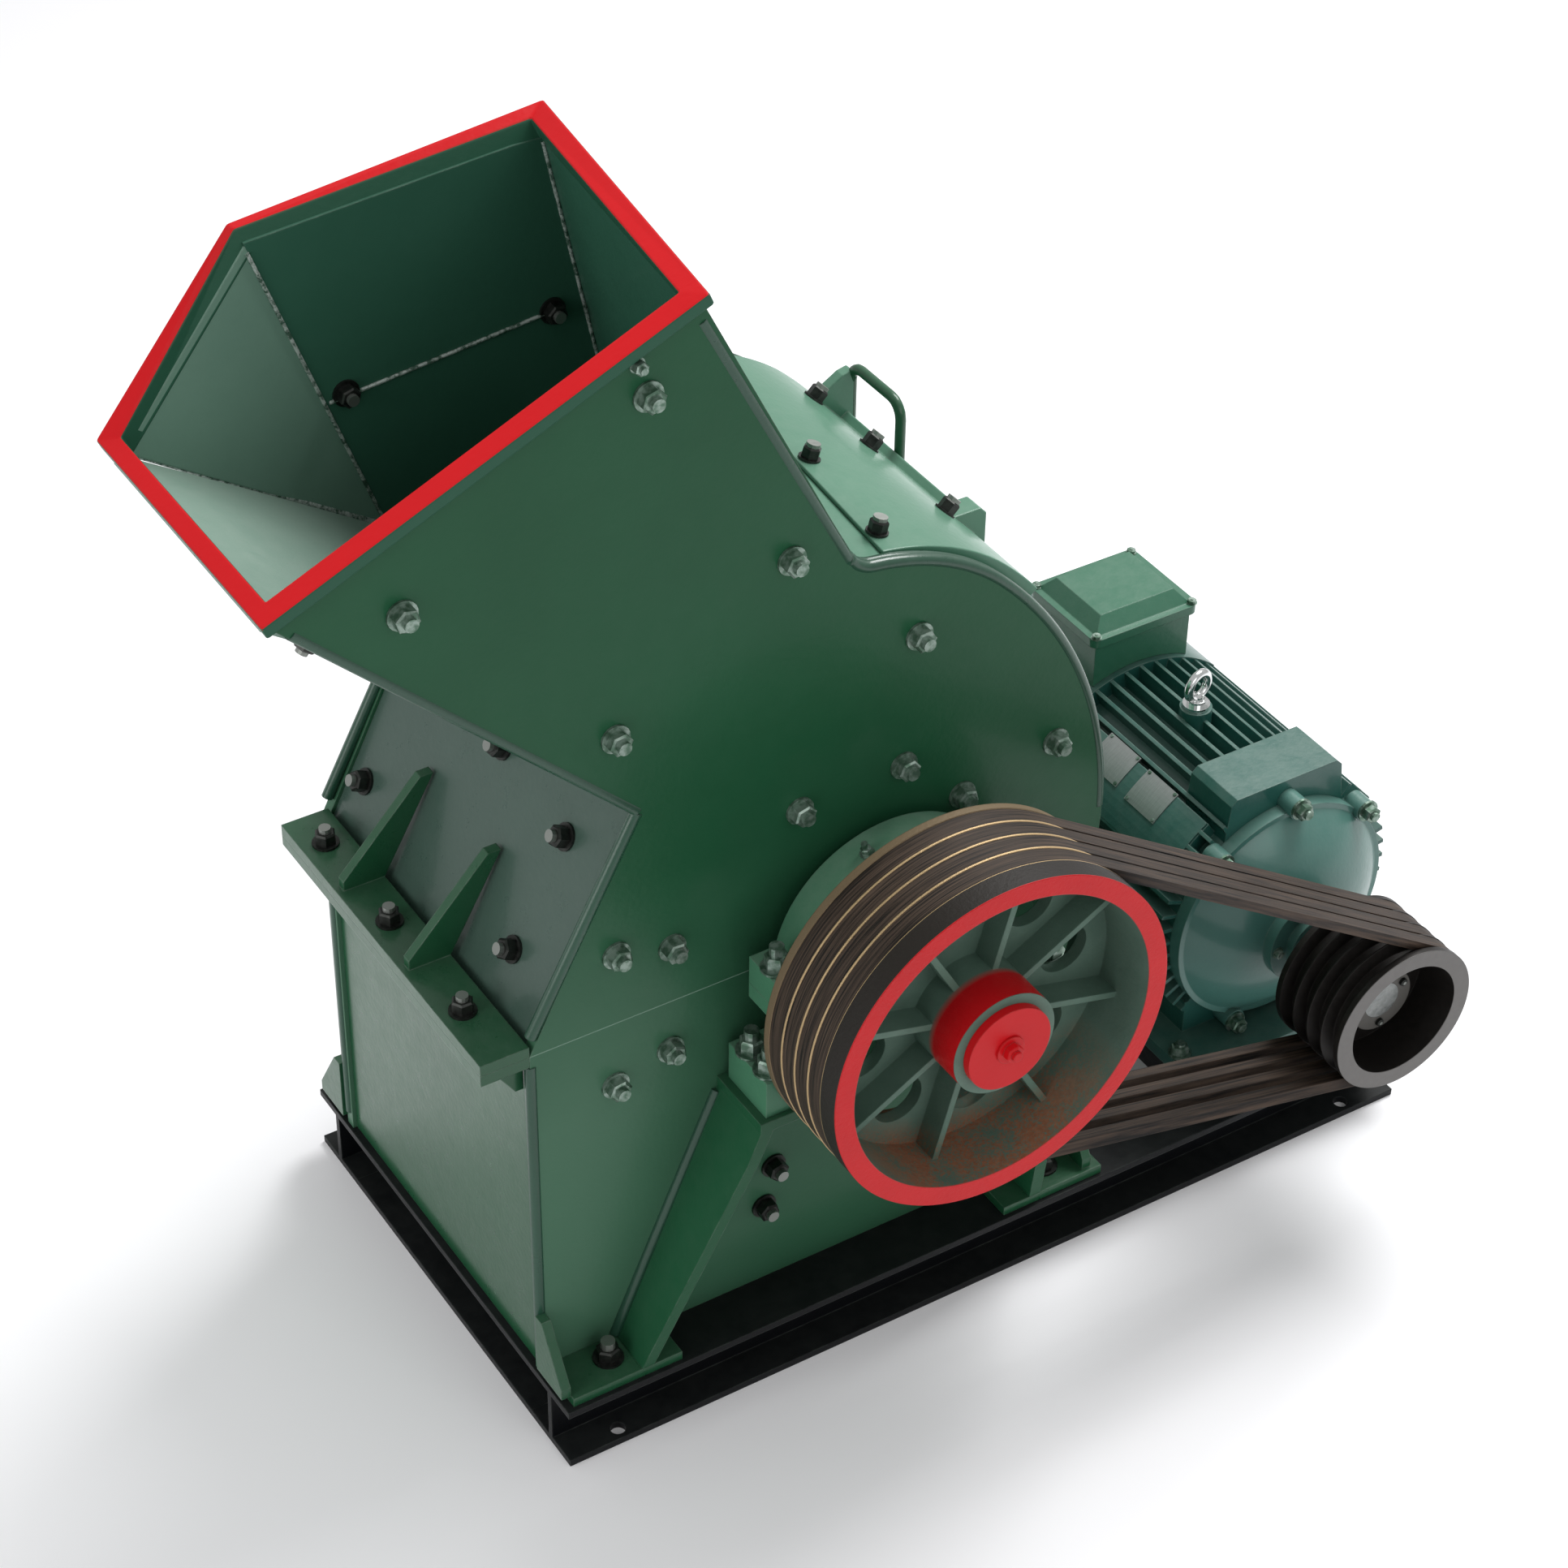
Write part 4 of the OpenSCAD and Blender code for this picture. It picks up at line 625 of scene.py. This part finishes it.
rust = add(tree, "ShaderNodeMix", {"Factor": sand.outputs["Fac"], 6: linear("#6b3f2a"), 7: linear("#a8775a")},
           data_type="RGBA")
rusted = add(tree, "ShaderNodeMix", {"Factor": rust_mask.outputs[0], 6: iron.outputs[2], 7: rust.outputs[2]},
             data_type="RGBA")
front = add(tree, "ShaderNodeMapRange", {"Value": xyz.outputs["Y"], "From Min": -0.2368, "From Max": -0.2372})
outer = add(tree, "ShaderNodeMapRange", {"Value": radius, "From Min": 0.1865, "From Max": 0.1875})
ring = add(tree, "ShaderNodeMath", {0: front.outputs[0], 1: outer.outputs[0]}, operation="MULTIPLY")
hub = add(tree, "ShaderNodeMapRange", {"Value": radius, "From Min": 0.0650, "From Max": 0.0642})
hub_front = add(tree, "ShaderNodeMapRange", {"Value": xyz.outputs["Y"], "From Min": -0.1900, "From Max": -0.2000})
hub_side = add(tree, "ShaderNodeMapRange", {"Value": xyz.outputs["Y"], "From Min": -0.2376, "From Max": -0.2372})
hub_part = add(tree, "ShaderNodeMath", {0: hub_side.outputs[0], 1: hub_front.outputs[0]}, operation="MULTIPLY")
hub_red = add(tree, "ShaderNodeMath", {0: hub.outputs[0], 1: hub_part.outputs[0]}, operation="MULTIPLY")
red_at = add(tree, "ShaderNodeMath", {0: ring.outputs[0], 1: hub_red.outputs[0]}, operation="MAXIMUM")
red = add(tree, "ShaderNodeMix", {"Factor": cloud.outputs["Fac"], 6: linear(reds[0]), 7: linear(reds[1])},
          data_type="RGBA")
two = add(tree, "ShaderNodeMix", {"Factor": red_at.outputs[0], 6: rusted.outputs[2], 7: red.outputs[2]},
          data_type="RGBA")
ridge = add(tree, "ShaderNodeMapRange", {"Value": radius, "From Min": 0.2085, "From Max": 0.2100})
behind = add(tree, "ShaderNodeMapRange", {"Value": xyz.outputs["Y"], "From Min": -0.2100, "From Max": -0.2098})
pulley_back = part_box("large_pulley")[1].y - axis.y
ahead = add(tree, "ShaderNodeMapRange", {"Value": xyz.outputs["Y"], "From Min": pulley_back - 0.010,
                                         "From Max": pulley_back - 0.009, "To Min": 1.0, "To Max": 0.25})
between = add(tree, "ShaderNodeMath", {0: behind.outputs[0], 1: ahead.outputs[0]}, operation="MULTIPLY")
bare = add(tree, "ShaderNodeMath", {0: ridge.outputs[0], 1: between.outputs[0]}, operation="MULTIPLY")
land = add(tree, "ShaderNodeMapRange", {"Value": radius, "From Min": 0.1885, "From Max": 0.1895})
dark = add(tree, "ShaderNodeMath", {0: land.outputs[0], 1: ring.outputs[0]}, operation="SUBTRACT", use_clamp=True)
grooved = add(tree, "ShaderNodeMix", {"Factor": dark.outputs[0], 6: two.outputs[2], 7: linear("#26221f")},
              data_type="RGBA")
final = add(tree, "ShaderNodeMix", {"Factor": bare.outputs[0], 6: grooved.outputs[2], 7: linear("#c9ae86")},
            data_type="RGBA")
tree.links.new(final.outputs[2], shader.inputs["Base Color"])
shine = add(tree, "ShaderNodeMapRange", {"Value": bare.outputs[0], "To Max": 0.8})
tree.links.new(shine.outputs[0], shader.inputs["Metallic"])
dull = add(tree, "ShaderNodeMapRange", {"Value": red_at.outputs[0], "To Min": 0.52, "To Max": 0.34})
tree.links.new(dull.outputs[0], shader.inputs["Roughness"])
rounded = add(tree, "ShaderNodeBevel", {"Radius": 0.002}, samples=4)
bump = add(tree, "ShaderNodeBump", {"Height": sand.outputs["Fac"], "Strength": 0.6, "Distance": 0.0009,
                                    "Normal": rounded.outputs[0]})
tree.links.new(bump.outputs[0], shader.inputs["Normal"])
coat(pulley_paint, "large_pulley")
coat(red_paint, "hub_cap")
hub_spot = (Vector((axis.x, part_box("hub_cap")[0].y, axis.z)), Vector((0, -1, 0)))
grow("hub_bolt", spots([hub_spot]), bolts, "rotor_unit", "red_paint", Head_Radius=0.011, Head_Height=0.008,
     Washer_Radius=0.017, Washer_Thickness=0.0025, Stud_Radius=0.006, Stud_Length=0.004, Material=red_paint)

# Drive belts: four endless V-belts in the two pulleys, one fixed loop each.
# Moulded rubber over cord with a fabric face, dull and dusty brown-black, streaked along its run.
rubber, tree, shader, place = finish_of("belt_rubber", Specular_IOR_Level=0.25)
long_way = add(tree, "ShaderNodeMapping", {"Vector": place, "Scale": (9, 480, 9)})
streak = add(tree, "ShaderNodeTexNoise", {"Vector": long_way.outputs[0], "Scale": 1.0, "Detail": 5.0,
                                          "Roughness": 0.65})
worn = add(tree, "ShaderNodeMapRange", {"Value": streak.outputs["Fac"], "From Min": 0.36, "From Max": 0.66})
weather(tree, shader, worn.outputs[0], "#0a0807", "#4d3f35", streak.outputs["Fac"], 0.5, 0.75)
rounded = add(tree, "ShaderNodeBevel", {"Radius": 0.0015}, samples=4)
bump = add(tree, "ShaderNodeBump", {"Height": streak.outputs["Fac"], "Strength": 0.35, "Distance": 0.0006,
                                    "Normal": rounded.outputs[0]})
tree.links.new(bump.outputs[0], shader.inputs["Normal"])
coat(rubber, "drive_belts")

# Motor: a finned frame on feet, a domed end shield, a fan cowl and a terminal box with a bevelled lid.
# Cast iron and pressed sheet, sprayed teal; zinc-plated bolts hold the shield, and a plated eye bolt lifts it.
motor_paint = sprayed_paint("teal_paint_on_castings", "#1b4a42", "#2a6057", 0.36, 6, 0.22, 0.25, 0.25)
coat(motor_paint, "motor_frame", "motor_cowl")
# The end shield is the same paint, painted paler: a painted sheen where it faces the light.
shield_paint = sprayed_paint("handled_teal_paint", "#3b655d", "#4c7d74", 0.34, 6, 0.22, 0.25, 0.28)
coat(shield_paint, "motor_shield")
box_paint = sprayed_paint("green_paint_on_box", "#2a5f49", "#3a7058", 0.36, 6, 0.15, 0.25, 0.2)
coat(box_paint, "terminal_box", "terminal_lid")
motor_x, motor_z = 1029, 307
motor = at(motor_x, 0, motor_z)


def on_front(node, a, r, ahead):
    """A spot on the front of a round motor piece: its angle in degrees, its radius and a start ahead of it, in m."""
    return onto(node, motor + arc_dir(a) * r + Vector((0, -ahead, 0)), (0, 1, 0))


lid_low, lid_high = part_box("terminal_lid")
inset = 0.007
screws = [onto("terminal_lid", Vector((x, y, 0.8)), down) for x in (lid_low.x + inset, lid_high.x - inset)
          for y in (lid_low.y + inset, lid_high.y - inset)]
grow("lid_screws", spots(screws), bolts, "frame", "bright_steel", Head_Radius=0.0055, Head_Height=0.0035,
     Washer_Radius=0.0068, Washer_Thickness=0.001, Stud_Radius=0.002, Stud_Length=0.0008, Head_Sides=12, Material=zinc)
shield_bolts = [on_front("motor_shield", a, 0.158, 0.2) for a in (45, 88, 131, 248, 292)]
shield_bolts += [onto("motor_frame", at(x, y, 170), down) for x in (885, 1173) for y in (4, 376)]
grow("motor_bolts", spots(shield_bolts), bolts, "frame", "bright_steel", Head_Radius=0.011, Head_Height=0.009,
     Washer_Radius=0.014, Stud_Radius=0.006, Stud_Length=0.004, Material=zinc)
cap_bolts = [on_front("motor_shield", a, 0.052, 0.2) for a in (0, 60, 120, 180, 240, 300)]
grow("cap_bolts", spots(cap_bolts), bolts, "frame", "bright_steel", Head_Radius=0.006, Head_Height=0.005,
     Washer_Radius=0.0075, Washer_Thickness=0.0015, Stud_Radius=0.003, Stud_Length=0.001, Material=zinc)


def curved_plate(name, radius, middle, width, y0, y1, thick):
    """A thin plate bent round the motor: its middle in degrees, its width along the curve and its ends, in mm."""
    steps, rows = 8, []
    for r in (radius, radius + thick):
        for y in (y0, y1):
            for i in range(steps + 1):
                way = arc_dir(middle + math.degrees((i / steps - 0.5) * width / radius))
                rows.append(motor + way * (r / 1000) + Vector((0, y / 1000, 0)))
    near_in, far_in, near_out, far_out = (k * (steps + 1) for k in range(4))
    bands = (far_out, near_out), (near_in, far_in), (near_out, near_in), (far_in, far_out)
    faces = [(one + i, one + i + 1, two + i + 1, two + i) for one, two in bands for i in range(steps)]
    faces += [(near_in, far_in, far_out, near_out)]
    faces += [(far_in + steps, near_in + steps, near_out + steps, far_out + steps)]
    mesh = bpy.data.meshes.new(name)
    mesh.from_pydata(rows, [], faces)
    work = bmesh.new()
    work.from_mesh(mesh)
    bmesh.ops.recalc_face_normals(work, faces=work.faces)
    work.to_mesh(mesh)
    work.free()
    return mesh


# Side panel: a smooth skin between the fins, with two bare aluminium rating plates riveted on.
blank, tree, shader, place = finish_of("brushed_aluminium", Metallic=0.9)
grain = add(tree, "ShaderNodeMapping", {"Vector": place, "Scale": (60, 1400, 60)})
brush = add(tree, "ShaderNodeTexNoise", {"Vector": grain.outputs[0], "Scale": 1.0, "Detail": 4.0})
weather(tree, shader, brush.outputs["Fac"], "#8b8f8e", "#b9bdbb", brush.outputs["Fac"], 0.32, 0.5)
rivets, plate_thick = [], 1.6
for name, radius, middle, width, y0, y1, made in (("side_panel", 170.6, 136.5, 79, 56, 332, motor_paint),
                                                  ("rating_plate", 172.0, 129, 46, 192, 252, blank),
                                                  ("lifting_plate", 172.0, 130, 46, 114, 172, blank)):
    mesh = curved_plate(name, radius, middle, width, y0, y1, plate_thick)
    mesh.materials.append(made)
    piece = placed(name, mesh)
    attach(piece, "frame")
    for turn in (-20, 20) if made == blank else ():
        for y in (y0 + 4, y1 - 4):
            way = arc_dir(middle + math.degrees(turn / radius))
            rivets.append((motor + way * ((radius + plate_thick) / 1000) + Vector((0, y / 1000, 0)), way))
grow("plate_rivets", spots(rivets), bolts, "frame", "bright_steel", Head_Radius=0.0022, Head_Height=0.0008,
     Washer_Radius=0.0026, Washer_Thickness=0.0004, Stud_Radius=0.001, Stud_Length=0.0002, Head_Sides=10, Material=zinc)

# Eye bolt: a forged ring on a collar, chrome bright, screwed into the boss on top of the frame.
chrome, tree, shader, place = finish_of("bright_chrome_plate", Metallic=1.0)
haze = add(tree, "ShaderNodeTexNoise", {"Vector": place, "Scale": 1000 / 12, "Detail": 3.0})
weather(tree, shader, haze.outputs["Fac"], "#c9cccb", "#eceeed", haze.outputs["Fac"], 0.08, 0.22)
boss, _ = onto("motor_frame", at(motor_x, 208, 700), down)
eye_r, eye_skew, eye_z = 0.017, 0.004, 0.030
loop = []
for a in range(0, 361, 15):
    s, c = math.sin(math.radians(a)), math.cos(math.radians(a))
    loop.append(boss + Vector((eye_r * s, eye_skew * s, eye_z - eye_r * c)))
grow("eye_ring", lines([loop]), runs, "frame", "bright_steel", Radius=0.0058, Ripple_Depth=0.0, Step=0.003, Sides=12,
     Material=chrome)
grow("eye_collar", spots([(boss, Vector((0, 0, 1)))]), bolts, "frame", "bright_steel", Head_Radius=0.012,
     Head_Height=0.006, Washer_Radius=0.017, Washer_Thickness=0.005, Stud_Radius=0.008, Stud_Length=0.004,
     Head_Sides=20, Material=chrome)

# Fan grille: rings and spokes of pressed wire behind the cowl, over the fan's air inlet.
inlet = Vector((motor.x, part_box("motor_cowl")[1].y + 0.001, motor.z))
wires = [[inlet + arc_dir(a) * r for a in range(0, 361, 10)] for r in (0.03, 0.05, 0.07, 0.09, 0.11, 0.13)]
wires += [[inlet + arc_dir(a) * 0.028, inlet + arc_dir(a) * 0.140] for a in range(0, 360, 30)]
grow("fan_grille", lines(wires), runs, "frame", "motor_green", Radius=0.0028, Ripple_Depth=0.0, Step=0.006, Sides=6,
     Material=motor_paint)

# Motor pulley: a turned iron pulley keyed on the motor shaft, with a bare machined front ring.
# Dark oiled iron, with a grey web disc and small dark screws round its hub.
oiled_iron, tree, shader, place = finish_of("oiled_cast_iron", Metallic=0.45)
xyz, radius = round_axis(tree, place, (motor.x, 0, motor.z))
grit = add(tree, "ShaderNodeTexNoise", {"Vector": place, "Scale": 1000 / 8, "Detail": 6.0})
tone = weather(tree, shader, grit.outputs["Fac"], "#151312", "#2a2623", grit.outputs["Fac"], 0.38, 0.6)
face_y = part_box("motor_pulley")[0].y
front = add(tree, "ShaderNodeMapRange", {"Value": xyz.outputs["Y"], "From Min": face_y + 0.0010,
                                         "From Max": face_y + 0.0004})
ringed = add(tree, "ShaderNodeMix", {"Factor": front.outputs[0], 6: tone, 7: linear("#666462")}, data_type="RGBA")
hub = add(tree, "ShaderNodeMapRange", {"Value": radius, "From Min": 0.0425, "From Max": 0.0415})
hubbed = add(tree, "ShaderNodeMix", {"Factor": hub.outputs[0], 6: ringed.outputs[2], 7: linear("#55534f")},
             data_type="RGBA")
tree.links.new(hubbed.outputs[2], shader.inputs["Base Color"])
rounded = add(tree, "ShaderNodeBevel", {"Radius": 0.0015}, samples=4)
tree.links.new(rounded.outputs[0], shader.inputs["Normal"])
coat(oiled_iron, "motor_pulley")
hub_screws = [on_front("motor_pulley", a, 0.033, 0.4) for a in (30, 150, 270)]
grow("hub_screws", spots(hub_screws), bolts, "motor_unit", "bright_steel", Head_Radius=0.0048, Head_Height=0.003,
     Washer_Radius=0.0055, Washer_Thickness=0.0006, Stud_Radius=0.0022, Stud_Length=0.0005, Head_Sides=12,
     Material=black_steel)

# Studio: a pale sweep of floor and soft light from above and both sides.
# The camera is the one that was fitted to the photograph.
floor_paint, _, shader, _ = finish_of("pale_studio_floor", Roughness=0.75, Specular_IOR_Level=0.2)
shader.inputs["Base Color"].default_value = linear("#f1f1f3")
shader.inputs["Emission Color"].default_value = linear("#ffffff")
shader.inputs["Emission Strength"].default_value = 0.06
sheet = bpy.data.meshes.new("floor")
reach, drop = 30, -0.0005
sheet.from_pydata([(x, y, drop) for x, y in ((-reach, -reach), (reach, -reach), (reach, reach), (-reach, reach))],
                  [], [(0, 1, 2, 3)])
sheet.materials.append(floor_paint)
floor = placed("floor", sheet)

world = bpy.data.worlds.new("studio")
bpy.context.scene.world = world
world.use_nodes = True
sky = world.node_tree.nodes["Background"].inputs
sky["Color"].default_value = linear("#ffffff")
sky["Strength"].default_value = 0.55
look_at = Vector((0, 0, 0.6))
for name, place, size, power in (("key", (2.4, 0.8, 4.2), 2.2, 210), ("left", (-4.4, -0.4, 2.0), 2.4, 60),
                                 ("front", (0.4, -4.8, 3.4), 2.6, 35)):
    lamp = bpy.data.lights.new(name, "AREA")
    lamp.size = size
    lamp.energy = power
    made = placed(name, lamp)
    made.location = place
    made.rotation_euler = (look_at - Vector(place)).to_track_quat("-Z", "Y").to_euler()

azimuth, elevation, roll = (math.radians(a) for a in (-32.5347, 38.1967, 0.9270))
target, distance, focal_px, frame_px, sensor = at(514.68, 323.02, 500), 4.36217, 4606.24, 1932, 36
back = Vector((math.sin(azimuth) * math.cos(elevation), -math.cos(azimuth) * math.cos(elevation), math.sin(elevation)))
right = Vector((math.cos(azimuth), math.sin(azimuth), 0))
up = back.cross(right)
across = right * math.cos(roll) + up * math.sin(roll)
upward = up * math.cos(roll) - right * math.sin(roll)
lens = bpy.data.cameras.new("camera")
lens.sensor_width = sensor
lens.lens = focal_px / frame_px * sensor
lens.clip_end = 100
camera = placed("camera", lens)
turned = Matrix((across, upward, back)).transposed().to_4x4()
camera.matrix_world = Matrix.Translation(target + back * distance) @ turned
bpy.context.scene.camera = camera
bpy.context.scene.view_settings.view_transform = "Standard"
